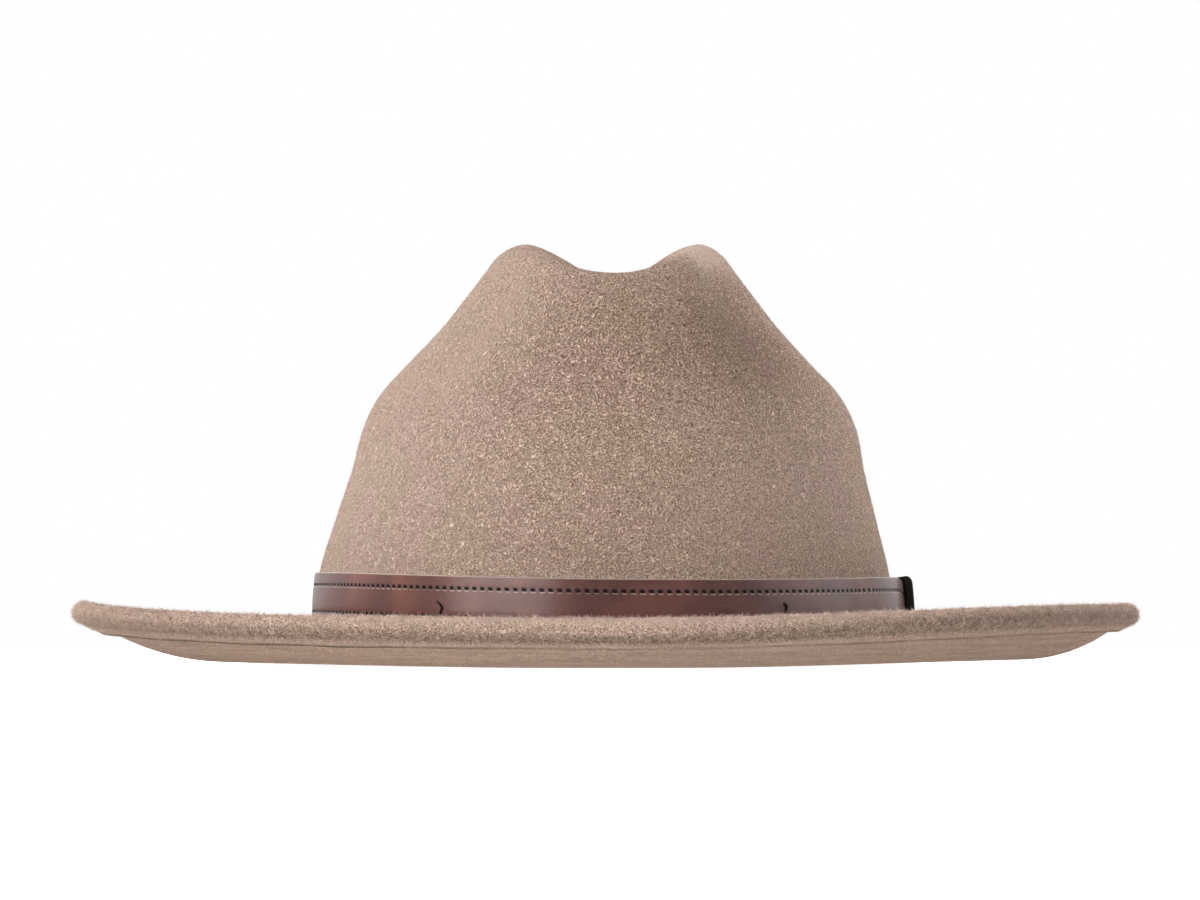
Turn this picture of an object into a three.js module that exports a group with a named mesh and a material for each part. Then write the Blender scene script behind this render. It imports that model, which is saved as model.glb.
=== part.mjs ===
// A felt hat: one blocked felt body with a pinched crown and a rolled brim, whose edge is turned under as
// a welt, and a leather band whose ends overlap in a leather keeper at the wearer's left.
// Millimetres, +Z up. The front faces -Y, the wearer's left is +X, and the hat lies on the plane z = 0.
import * as THREE from "three";
import { mergeVertices } from "three/addons/utils/BufferGeometryUtils.js";

// Felt body
const FELT = 3; // thickness of the felt
const BRIM_HALF_WIDTH = 155; // middle of the hat to the brim's side edge
const BRIM_HALF_LENGTH = 174; // middle of the hat to the brim's front and back edges
const BREAK_RADIUS = 4.5; // hollow corner where the crown meets the brim
const BREAK_TILT = 1; // the break line is this much lower at the wearer's left, and higher at the right
const CURL_HEIGHT = { left: 12.1, right: 13.4, front: 9.8, back: 10.4 }; // rise of the edge over the low ring
const CURL_REACH = { left: 30, right: 42, front: 40, back: 38 }; // width of the stretch that curls
const CURL_SHARPNESS = { left: 1.2, right: 4.5 }; // how quickly a side's curl fades towards front and back
const CURL_POWER = 2.2; // how much steeper the curl gets towards the edge
const LOW_RING = 22; // distance from the crown wall at which the brim is down on its low ring
const SIDE_LIFT = { left: 1.7, right: 1 }; // rise of the low ring at the sides: it rests in front and behind
const FLAT_SHARE = 0.15; // the ring lies flat where the cosine of the angle is smaller than this
const WELT = 5.4; // thickness of the edge where the felt is turned under
const WELT_WIDTH = { left: 6.5, right: 9.5, front: 10, back: 10 }; // width of the turned under strip
const WELT_HEM = 4.9; // thickness at the strip's raw inner edge, where it is pressed and sewn
const EDGE_INSET = 3; // the brim's outermost stretch, which belongs to its rounded edge
const CROWN_LEAN = 1.4; // the crown leans this far to the wearer's left at half its height
const TOP_LEAN = 0.4; // and its top a little further
const PINCH = { angle: 54, spread: 20, pull: 0.4 }; // dents: degrees from the front, width, share in Y
const LOBES = {
  left: { corner: 0.6, side: 0.38 }, // shares of a ring's lift that go to the front corner and to the side
  right: { corner: 0.42, side: 0.44 },
};

// The crown's rings, from the break line up over the crest and down into the crease along the top.
// width, front and back are reaches from the axis. The z columns are heights at the side, front and back.
// lift raises the lobes beside the crease, pinch dents the front corners, and teardrop narrows the front
// and widens the back.
const RING_COLUMNS = ["width", "front", "back", "side_z", "front_z", "back_z", "lift", "pinch", "teardrop"];
const CROWN_RINGS = [
  [85.5, 104, 104, 11.2, 9.1, 9.1, 0, 0, 0],
  [84.4, 103.4, 103.4, 26.2, 24.1, 24.1, 0, 0, 0],
  [80.4, 101.3, 101.6, 42, 39.5, 39.5, 0, 0.01, 0],
  [76.1, 98, 98.6, 57, 55, 54.5, 0, 0.025, 0],
  [73.5, 94.2, 94, 69.5, 70, 68.5, 0, 0.055, 0],
  [68.5, 90, 87.5, 80, 83, 80.5, 0, 0.1, 0],
  [59.6, 86, 79.5, 89.5, 94, 90, 1, 0.15, 0.02],
  [50, 81.6, 71.5, 99.2, 102.8, 97, 2.5, 0.16, 0.04],
  [42.9, 77.4, 64.5, 107.6, 108.6, 101.8, 4, 0.12, 0.07],
  [37.2, 72.8, 58, 114.2, 111, 104.6, 5.8, 0.06, 0.1],
  [33.4, 67.8, 52, 118.6, 110.2, 105.6, 6.1, 0.015, 0.12],
  [28, 63.4, 46.5, 121.2, 109.6, 105.2, 5, 0, 0.14],
  [23.6, 59.5, 41, 115.2, 108.2, 103.8, 2, 0, 0.16],
  [16, 55.5, 36, 107.8, 106, 101.9, 0.6, 0, 0.16],
  [8, 52, 32, 103.8, 104, 100.5, 0, 0, 0.1],
  [0, 49, 29, 102.2, 103, 100, 0, 0, 0],
].map((row) => Object.fromEntries(row.map((value, i) => [RING_COLUMNS[i], value])));

// Leather band and keeper. Angles are degrees round the crown from the wearer's left, positive to the back.
const LEATHER = 1; // thickness of the strap
const GAP = 0.3; // clearance between pieces that touch
const BAND_FOOT = 0.5; // height of the band's lower edge above the break line
const BAND_WIDTH = 14.6;
const BAND_LAP_WIDTH = 12.2; // width where the two ends lie on each other
const BAND_START = -28; // the under end
const BAND_TIP = 20; // the over end, one turn further on
const BAND_TIP_LENGTH = 5; // degrees over which the over end narrows to its tip
const KEEPER = { from: -4.5, to: 3.5, face: 2.2, wall: 1, corner: 1.9, hole_corner: 0.3 }; // face: outside
const SETTLE = 7; // degrees over which the strap rises onto what is under it

// Mesh density
const COLUMNS = 72;
const CROWN_ROWS = 22;
const CROWN_LINING_ROWS = 16;
const BRIM_ROWS = 5;
const BREAK_ROWS = 3;
const EDGE_ROWS = 4;
const BAND_STEP = 3.6; // degrees
const COLUMN_ANGLES = Array.from({ length: COLUMNS }, (_, i) => -Math.PI / 2 + (2 * Math.PI * i) / COLUMNS);

const COLOURS = { felt: 0xb29683, leather: 0x5a342c, keeper: 0x2b221b };

const rad = THREE.MathUtils.degToRad;
const clamp = THREE.MathUtils.clamp;
const mix = THREE.MathUtils.lerp;
const smooth = (x) => THREE.MathUtils.smoothstep(x, 0, 1);

// A value that changes round the hat from the wearer's left or right to the front or back.
const EVEN = { left: 2, right: 2 };
function around(theta, { left, right, front, back }, sharpness = EVEN) {
  const end = Math.sin(theta) < 0 ? front : back;
  const [side, power] = Math.cos(theta) > 0 ? [left, sharpness.left] : [right, sharpness.right];
  return mix(end, side, Math.abs(Math.cos(theta)) ** power);
}

// One ring of the crown between the table's rows, by a Catmull-Rom curve through each column.
function ringAt(level) {
  const last = CROWN_RINGS.length - 1;
  const row = clamp(Math.floor(level), 0, last - 1);
  const u = level - row;
  const near = [-1, 0, 1, 2].map((step) => CROWN_RINGS[clamp(row + step, 0, last)]);
  const ring = {};
  for (const column of RING_COLUMNS) {
    const [a, b, c, d] = near.map((entry) => entry[column]);
    const bend = 2 * a - 5 * b + 4 * c - d;
    const twist = 3 * b - a - 3 * c + d;
    ring[column] = b + 0.5 * u * (c - a + u * (bend + u * twist));
  }
  return ring;
}

// A point of the felt's outer surface on the crown. level counts the table's rows.
function crownPoint(theta, level) {
  const ring = ringAt(level);
  const c = Math.cos(theta);
  const s = Math.sin(theta);
  const fromFront = Math.abs(Math.atan2(c, -s)) / rad(1);
  const dent = ring.pinch * Math.exp(-(((fromFront - PINCH.angle) / PINCH.spread) ** 2));
  const lean = CROWN_LEAN * smooth((level - 1) / 3) + TOP_LEAN * smooth((level - 5) / 2);
  const { side_z, front_z, back_z } = ring;
  const height = around(theta, { left: side_z, right: side_z, front: front_z, back: back_z });
  const lobe = c > 0 ? LOBES.left : LOBES.right;
  const corner = s < 0 ? 4 * s * s * c * c : 0;
  const lift = ring.lift * (lobe.corner * corner + lobe.side * c * c);
  return new THREE.Vector3(
    ring.width * c * (1 - dent) * (1 + ring.teardrop * s) + lean,
    (s < 0 ? ring.front : ring.back) * s * (1 - PINCH.pull * dent),
    height + lift - BREAK_TILT * c * (1 - smooth(level / 4)),
  );
}

// The brim's width at an angle, and the point at a distance out from the foot of the crown wall.
function brimWidth(theta) {
  const base = CROWN_RINGS[0];
  const across = (BRIM_HALF_WIDTH - base.width) * Math.cos(theta);
  const along = (BRIM_HALF_LENGTH - base.front) * Math.sin(theta);
  return Math.hypot(across, along);
}

// Height of the brim's top at a distance from the crown wall: a fall from the break line to the low ring,
// which is a little higher at the sides, then a curl up to the edge.
function brimHeight(theta, distance) {
  const foot = crownPoint(theta, 0).z - BREAK_RADIUS;
  const fall = 1 - smooth((distance - BREAK_RADIUS) / (LOW_RING - BREAK_RADIUS));
  const reach = around(theta, CURL_REACH);
  const curl = Math.max((distance + EDGE_INSET - brimWidth(theta)) / reach + 1, 0) ** CURL_POWER;
  const c = Math.cos(theta);
  const sideways = smooth((Math.abs(c) - FLAT_SHARE) / (1 - FLAT_SHARE));
  const lift = (c > 0 ? SIDE_LIFT.left : SIDE_LIFT.right) * sideways * (1 - fall);
  return FELT + (foot - FELT) * fall + around(theta, CURL_HEIGHT, CURL_SHARPNESS) * curl + lift;
}

// A point on the brim, a depth below its top surface, measured square to it.
function brimPoint(theta, distance, depth = 0) {
  const step = 0.5;
  const slope = (brimHeight(theta, distance + step) - brimHeight(theta, distance - step)) / (2 * step);
  const angle = distance > BREAK_RADIUS ? Math.atan(slope) : 0;
  const out = distance + depth * Math.sin(angle);
  const base = CROWN_RINGS[0];
  const share = out / brimWidth(theta);
  return new THREE.Vector3(
    mix(base.width, BRIM_HALF_WIDTH, share) * Math.cos(theta),
    mix(base.front, BRIM_HALF_LENGTH, share) * Math.sin(theta),
    brimHeight(theta, distance) - depth * Math.cos(angle),
  );
}

// A point of the hollow corner between wall and brim, a depth below its surface. turn is 0 at the wall.
function breakPoint(theta, turn, depth = 0) {
  const angle = (turn * Math.PI) / 2;
  const radius = BREAK_RADIUS + depth;
  const point = brimPoint(theta, BREAK_RADIUS - radius * Math.cos(angle));
  point.z = crownPoint(theta, 0).z - radius * Math.sin(angle);
  return point;
}

// A point of the rounded edge. turn runs from 0 on top to 1 underneath.
function edgePoint(theta, distance, turn) {
  const round = WELT / 2;
  const top = brimPoint(theta, distance);
  const under = brimPoint(theta, distance, WELT);
  const middle = top.clone().add(under).multiplyScalar(0.5);
  const across = top.clone().sub(under).normalize();
  const tangent = new THREE.Vector3(-Math.sin(theta), Math.cos(theta), 0);
  const outward = tangent.clone().cross(across).normalize();
  const angle = turn * Math.PI;
  return middle
    .addScaledVector(across, round * Math.cos(angle))
    .addScaledVector(outward, round * Math.sin(angle));
}

// Evenly spread values from first to last.
const spread = (first, last, count) =>
  Array.from({ length: count }, (_, i) => mix(first, last, i / (count - 1)));

// A closed surface from rows of points. Rows and columns may close on themselves, and open row ends get caps.
function surface(rows, { wrapRows = false, wrapColumns = true } = {}) {
  const width = rows[0].length;
  const positions = rows.flat().flatMap((p) => [p.x, p.y, p.z]);
  const index = [];
  const rowCount = wrapRows ? rows.length : rows.length - 1;
  const columnCount = wrapColumns ? width : width - 1;
  for (let r = 0; r < rowCount; r++) {
    for (let c = 0; c < columnCount; c++) {
      const a = r * width + c;
      const b = r * width + ((c + 1) % width);
      const d = ((r + 1) % rows.length) * width + c;
      const e = ((r + 1) % rows.length) * width + ((c + 1) % width);
      index.push(a, d, e, a, e, b);
    }
  }
  if (!wrapColumns) {
    for (let r = 1; r + 1 < rows.length; r++) {
      index.push(0, (r + 1) * width, r * width);
      index.push(width - 1, (r + 1) * width - 1, (r + 2) * width - 1);
    }
  }
  const geometry = new THREE.BufferGeometry();
  geometry.setAttribute("position", new THREE.Float32BufferAttribute(positions, 3));
  geometry.setIndex(index);
  return mergeVertices(geometry, 1e-3);
}

const mesh = (name, geometry, material) => {
  const made = new THREE.Mesh(geometry, material);
  made.name = name;
  return made;
};

// The felt body: the outer skin from the crease down to the brim's edge, round the welt, and back up inside.
function feltRows() {
  const ring = (point) => COLUMN_ANGLES.map(point);
  const turns = (count) => spread(0, 1, count + 1).slice(1);
  const brimRows = (from, to, depth, count) => spread(0, 1, count).map((share) =>
    ring((theta) => brimPoint(theta, mix(from(theta), to(theta), share), depth)));
  const levels = spread(CROWN_RINGS.length - 1, 0, CROWN_ROWS);
  const foot = () => BREAK_RADIUS;
  const lowInner = () => LOW_RING;
  const lowOuter = (theta) => brimWidth(theta) - EDGE_INSET - around(theta, CURL_REACH);
  const weltInner = (theta) => brimWidth(theta) - around(theta, WELT_WIDTH);
  const edge = (theta) => brimWidth(theta) - EDGE_INSET;
  return [
    ...levels.map((level) => ring((theta) => crownPoint(theta, level))),
    ...turns(BREAK_ROWS).slice(0, -1).map((turn) => ring((theta) => breakPoint(theta, turn))),
    ...brimRows(foot, lowInner, 0, BRIM_ROWS),
    ...brimRows(lowOuter, edge, 0, BRIM_ROWS),
    ...turns(EDGE_ROWS).map((turn) => ring((theta) => edgePoint(theta, edge(theta), turn))),
    ring((theta) => brimPoint(theta, weltInner(theta), WELT_HEM)),
    ...brimRows(weltInner, lowOuter, FELT, BRIM_ROWS - 1),
    ...brimRows(lowInner, foot, FELT, BRIM_ROWS - 1),
    ...[2 / 3, 1 / 3].map((turn) => ring((theta) => breakPoint(theta, turn, FELT))),
    ...liningRows(ring),
  ];
}

// The inside of the crown: the outer skin moved in by the felt's thickness, square to the surface.
function crownInside(theta, level) {
  const step = 0.02;
  const at = clamp(level, step, CROWN_RINGS.length - 1.5); // the closing rows take the normal beside them
  const along = crownPoint(theta, at + step).sub(crownPoint(theta, at - step));
  const round = crownPoint(theta + step, at).sub(crownPoint(theta - step, at));
  const normal = round.cross(along).normalize();
  return crownPoint(theta, level).addScaledVector(normal, -FELT);
}

// The lining rows run up inside the crown. The last one closes onto a line, like the crease above it.
function liningRows(ring) {
  const top = CROWN_RINGS.length - 1.02;
  const rows = spread(0, top, CROWN_LINING_ROWS).map((level) => ring((theta) => crownInside(theta, level)));
  const seam = rows[rows.length - 1];
  seam.forEach((point, i) => {
    const other = seam[(COLUMNS - i) % COLUMNS];
    const middle = point.clone().add(other).multiplyScalar(0.5);
    point.copy(middle);
    other.copy(middle);
  });
  return rows;
}

// How far the strap stands off the crown: over the keeper's back, and over the strap's own under end.
function keeperLift(degrees) {
  const before = smooth((degrees - KEEPER.from + SETTLE) / SETTLE);
  const after = smooth((KEEPER.to + SETTLE - degrees) / SETTLE);
  return (KEEPER.wall + GAP) * Math.min(before, after);
}
function strapOffset(degrees) {
  const turn = degrees > 180 ? degrees - 360 : degrees;
  const over = degrees > 180 ? smooth((turn - BAND_START + SETTLE) / (SETTLE - 2)) : 0;
  return GAP + keeperLift(turn) + over * (LEATHER + GAP);
}

// The strap's lower and upper edge above the break line: narrower where the ends lie on each other.
function strapEdges(degrees) {
  const turn = degrees > 180 ? degrees - 360 : degrees;
  const before = smooth((turn - KEEPER.from + SETTLE) / SETTLE);
  const after = smooth((KEEPER.to + SETTLE - turn) / SETTLE);
  const lap = Math.min(before, after);
  const trim = (lap * (BAND_WIDTH - BAND_LAP_WIDTH)) / 2;
  const toTip = degrees > 180 ? clamp((BAND_TIP - turn) / BAND_TIP_LENGTH, 0, 1) : 1;
  const half = ((BAND_WIDTH - 2 * trim) / 2) * Math.sqrt(mix(0.2, 1, toTip));
  const middle = BAND_FOOT + BAND_WIDTH / 2;
  return { low: middle - half, high: middle + half };
}

// A point at an angle round the crown, a height above the break line and a distance off the felt.
function bandPoint(degrees, height, offset) {
  const theta = rad(degrees);
  const level = height / (CROWN_RINGS[1].side_z - CROWN_RINGS[0].side_z);
  const step = 0.02;
  const up = crownPoint(theta, level + step).sub(crownPoint(theta, level - step));
  const round = crownPoint(theta + step, level).sub(crownPoint(theta - step, level));
  return crownPoint(theta, level).addScaledVector(round.cross(up).normalize(), offset);
}

function strapGeometry() {
  const end = 360 + BAND_TIP;
  const stations = spread(BAND_START, end, Math.round((end - BAND_START) / BAND_STEP) + 1);
  const line = (pick, layer) => stations.map((degrees) =>
    bandPoint(degrees, strapEdges(degrees)[pick], strapOffset(degrees) + layer));
  const rows = [line("low", 0), line("high", 0), line("high", LEATHER), line("low", LEATHER)];
  return surface(rows, { wrapRows: true, wrapColumns: false });
}

// The keeper: a loop round both layers of the strap. Its face is thicker than its back, with rounded corners.
function keeperGeometry() {
  const corners = (degrees, grown) => {
    const { low, high } = strapEdges(degrees);
    const inner = GAP;
    const outer = GAP + keeperLift(0) + 2 * LEATHER + 2 * GAP;
    const reach = grown ? KEEPER.wall : 0;
    const front = outer + (grown ? KEEPER.face : 0);
    const back = inner + (grown ? 0 : KEEPER.wall);
    const bottom = low - GAP - reach;
    const roof = high + GAP + reach;
    const bevel = grown ? KEEPER.corner : KEEPER.hole_corner;
    const arc = [0, 0.5, 1].map((turn) => (turn * Math.PI) / 2);
    const outline = [[bottom, back], [roof, back]];
    for (const angle of arc) {
      outline.push([roof - bevel * (1 - Math.cos(angle)), front - bevel * (1 - Math.sin(angle))]);
    }
    for (const angle of arc) {
      outline.push([bottom + bevel * (1 - Math.sin(angle)), front - bevel * (1 - Math.cos(angle))]);
    }
    return outline.map(([height, offset]) => bandPoint(degrees, height, offset));
  };
  const stations = spread(KEEPER.from, KEEPER.to, 4);
  const rows = [
    ...stations.map((degrees) => corners(degrees, false)),
    ...[...stations].reverse().map((degrees) => corners(degrees, true)),
  ];
  return surface(rows, { wrapRows: true });
}

const felt = new THREE.MeshStandardMaterial({ color: COLOURS.felt, roughness: 1, metalness: 0 });
const leather = new THREE.MeshStandardMaterial({ color: COLOURS.leather, roughness: 0.4, metalness: 0 });
const keeperLeather = new THREE.MeshStandardMaterial({ color: COLOURS.keeper, roughness: 0.6, metalness: 0 });

const hat = new THREE.Group();
hat.add(mesh("felt_body", surface(feltRows()), felt));
hat.add(mesh("leather_band", strapGeometry(), leather));
hat.add(mesh("band_keeper", keeperGeometry(), keeperLeather));

export default hat;
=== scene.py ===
"""A tan felt hat with a stitched leather band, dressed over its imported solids.

Shapes are worked out in millimetres as numpy grids and become meshes in metres.
The front of the hat faces -Y, the wearer's left is +X, and the brim rests on z = 0.
"""

from __future__ import annotations

import logging
import math
from dataclasses import dataclass, field
from enum import Enum
from typing import Callable, Iterable

import bpy
import numpy as np
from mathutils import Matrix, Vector

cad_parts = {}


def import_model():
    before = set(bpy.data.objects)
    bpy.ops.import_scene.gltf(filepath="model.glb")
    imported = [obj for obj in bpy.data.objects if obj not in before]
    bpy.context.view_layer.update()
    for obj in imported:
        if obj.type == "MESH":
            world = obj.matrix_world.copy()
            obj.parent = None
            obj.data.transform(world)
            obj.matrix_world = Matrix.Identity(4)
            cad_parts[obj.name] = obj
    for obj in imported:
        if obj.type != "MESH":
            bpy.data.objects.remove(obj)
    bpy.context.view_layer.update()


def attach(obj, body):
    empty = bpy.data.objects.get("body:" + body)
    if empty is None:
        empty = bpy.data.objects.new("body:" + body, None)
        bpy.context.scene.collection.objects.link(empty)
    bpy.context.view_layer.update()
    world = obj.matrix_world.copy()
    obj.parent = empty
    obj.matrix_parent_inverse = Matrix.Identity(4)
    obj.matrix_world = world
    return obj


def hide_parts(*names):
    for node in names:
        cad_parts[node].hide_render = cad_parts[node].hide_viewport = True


MM = 0.001
TAU = 2.0 * math.pi
LOG = logging.getLogger("felt_hat")

Array = np.ndarray
Socket = bpy.types.NodeSocket
Material = bpy.types.Material
Colour = tuple[float, float, float]
Span = tuple[float, float]
Ranges = dict[str, tuple[int, int]]


class Slot(Enum):
    """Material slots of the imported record."""

    FELT = "felt"
    BAND = "band_leather"
    KEEPER = "keeper_leather"


class Node(Enum):
    """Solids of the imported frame."""

    FELT = "felt_body"
    BAND = "leather_band"
    KEEPER = "band_keeper"


# Small maths


def smooth(x: Array | float) -> Array:
    """Eased step: 0 below 0, 1 above 1, and 3x^2 - 2x^3 between."""
    t = np.clip(x, 0.0, 1.0)
    return t * t * (3.0 - 2.0 * t)


def eased(x: Array | float, start: float, end: float) -> Array:
    """Eased step from 0 at the start to 1 at the end."""
    return smooth((x - start) / (end - start))


def bell(x: Array | float, middle: float, reach: float) -> Array:
    """Gaussian: 1 at the middle and 1/e at the reach from it."""
    return np.exp(-(((x - middle) / reach) ** 2))


def mix(a: Array | float, b: Array | float, share: Array | float) -> Array:
    """Straight blend from a to b."""
    return a + (b - a) * share


def unit(vectors: Array) -> Array:
    """Vectors divided by their own length."""
    length = np.linalg.norm(vectors, axis=-1, keepdims=True)
    return vectors / np.maximum(length, 1e-12)


def travel(points: Array) -> Array:
    """Length along a line of points, from 0 at its first."""
    return np.concatenate([[0.0], np.cumsum(np.linalg.norm(np.diff(points, axis=0), axis=1))])


def grid_steps(grid: Array) -> tuple[Array, Array]:
    """Central differences down the rows and along the closed columns of a grid."""
    down = np.gradient(grid, axis=0)
    along = (np.roll(grid, -1, axis=1) - np.roll(grid, 1, axis=1)) / 2.0
    return down, along


@dataclass(frozen=True)
class Waviness:
    """Slow unevenness of hand blocked felt: a sum of plane waves through space."""

    seed: int
    amplitude: float
    shortest: float
    longest: float
    waves: int = 14
    gain: float = 2.2

    def at(self, points: Array) -> Array:
        """Offset in millimetres: the sum of a_k sin(k . p + phase_k), a_k by wavelength."""
        rng = np.random.default_rng(self.seed)
        heading = unit(rng.normal(size=(self.waves, 3)))
        length = np.geomspace(self.shortest, self.longest, self.waves)
        phase = rng.uniform(0.0, TAU, self.waves)
        strength = length / length.sum() * self.amplitude * self.gain
        turns = points @ (heading * (TAU / length)[:, None]).T + phase
        return np.sin(turns) @ strength


# Meshes


@dataclass
class MeshParts:
    """Points in millimetres, faces of one size, and values carried by the points."""

    points: Array
    faces: Array
    caps: list[list[int]] = field(default_factory=list)
    values: dict[str, Array] = field(default_factory=dict)

    def build(self, name: str) -> bpy.types.Object:
        """Puts the arrays into a mesh object at the origin, shaded smooth.

        Args:
            name: The object's name.

        Returns:
            The new object, linked to the scene.
        """
        mesh = bpy.data.meshes.new(name)
        sides = self.faces.shape[1]
        totals = np.full(len(self.faces), sides)
        loops = self.faces.reshape(-1)
        if self.caps:
            loops = np.concatenate([loops, np.concatenate(self.caps)])
            totals = np.concatenate([totals, [len(cap) for cap in self.caps]])
        starts = np.concatenate([[0], np.cumsum(totals)[:-1]])
        mesh.vertices.add(len(self.points))
        mesh.vertices.foreach_set("co", (self.points * MM).astype(np.float32).ravel())
        mesh.loops.add(len(loops))
        mesh.loops.foreach_set("vertex_index", loops.astype(np.int32))
        mesh.polygons.add(len(totals))
        mesh.polygons.foreach_set("loop_start", starts.astype(np.int32))
        mesh.polygons.foreach_set("loop_total", totals.astype(np.int32))
        mesh.polygons.foreach_set("use_smooth", np.ones(len(totals), dtype=bool))
        mesh.update(calc_edges=True)
        for key, value in self.values.items():
            layer = mesh.attributes.new(key, "FLOAT", "POINT")
            layer.data.foreach_set("value", value.astype(np.float32).ravel())
        made = bpy.data.objects.new(name, mesh)
        bpy.context.scene.collection.objects.link(made)
        return made


def grid_faces(rows: int, columns: int, wrap_rows: bool, wrap_columns: bool) -> Array:
    """Quads of a grid, pointing along (row step) x (column step).

    Args:
        rows: Number of rows of points.
        columns: Number of columns of points.
        wrap_rows: Whether the last row joins the first.
        wrap_columns: Whether the last column joins the first.

    Returns:
        Point indices, one quad to a line.
    """
    r = np.arange(rows if wrap_rows else rows - 1)[:, None]
    c = np.arange(columns if wrap_columns else columns - 1)[None, :]
    below, right = (r + 1) % rows, (c + 1) % columns
    corners = [r * columns + c, below * columns + c, below * columns + right, r * columns + right]
    return np.stack(np.broadcast_arrays(*corners), axis=-1).reshape(-1, 4)


def repeated(template: Array, faces: Array, origin: Array, axes: Array) -> tuple[Array, Array]:
    """Copies of one small closed shape, each in its own local frame.

    Args:
        template: Points of the shape, n by 3, in local millimetres.
        faces: Faces of the shape.
        origin: Place of each copy, k by 3.
        axes: Local X, Y and Z of each copy as rows, k by 3 by 3.

    Returns:
        All points and all faces.
    """
    points = origin[:, None, :] + np.einsum("nj,kji->kni", template, axes)
    shift = (np.arange(len(origin)) * len(template))[:, None, None]
    return points.reshape(-1, 3), (faces[None] + shift).reshape(-1, faces.shape[1])


# The hat's form

RING_COLUMNS = ("width", "front", "back", "side_z", "front_z", "back_z", "lift", "pinch", "teardrop")
CROWN_TABLE = np.array(
    [
        (85.5, 104, 104, 11.2, 9.1, 9.1, 0, 0, 0),
        (84.4, 103.4, 103.4, 26.2, 24.1, 24.1, 0, 0, 0),
        (80.4, 101.3, 101.6, 42, 39.5, 39.5, 0, 0.01, 0),
        (76.1, 98, 98.6, 57, 55, 54.5, 0, 0.025, 0),
        (73.5, 94.2, 94, 69.5, 70, 68.5, 0, 0.055, 0),
        (68.5, 90, 87.5, 80, 83, 80.5, 0, 0.1, 0),
        (59.6, 86, 79.5, 89.5, 94, 90, 1, 0.15, 0.02),
        (50, 81.6, 71.5, 99.2, 102.8, 97, 2.5, 0.16, 0.04),
        (42.9, 77.4, 64.5, 107.6, 108.6, 101.8, 4, 0.12, 0.07),
        (37.2, 72.8, 58, 114.2, 111, 104.6, 5.8, 0.06, 0.1),
        (33.4, 67.8, 52, 118.6, 110.2, 105.6, 6.1, 0.015, 0.12),
        (28, 63.4, 46.5, 121.2, 109.6, 105.2, 5, 0, 0.14),
        (23.6, 59.5, 41, 115.2, 108.2, 103.8, 2, 0, 0.16),
        (16, 55.5, 36, 107.8, 106, 101.9, 0.6, 0, 0.16),
        (8, 52, 32, 103.8, 104, 100.5, 0, 0, 0.1),
        (0, 49, 29, 102.2, 103, 100, 0, 0, 0),
    ],
    dtype=float,
)


@dataclass(frozen=True)
class Round:
    """A value that changes round the hat between left, right, front and back."""

    left: float
    right: float
    front: float
    back: float
    power_left: float = 2.0
    power_right: float = 2.0

    def at(self, theta: Array) -> Array:
        """Blend from the end's value to the side's by |cos(theta)| to a power."""
        end = np.where(np.sin(theta) < 0, self.front, self.back)
        is_left = np.cos(theta) > 0
        side = np.where(is_left, self.left, self.right)
        power = np.where(is_left, self.power_left, self.power_right)
        return mix(end, side, np.abs(np.cos(theta)) ** power)


@dataclass(frozen=True)
class Sides:
    """A value with one size on the wearer's left and another on the right."""

    left: float
    right: float

    def at(self, theta: Array) -> Array:
        """The left value where cos(theta) > 0, and the right one elsewhere."""
        return np.where(np.cos(theta) > 0, self.left, self.right)


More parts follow.
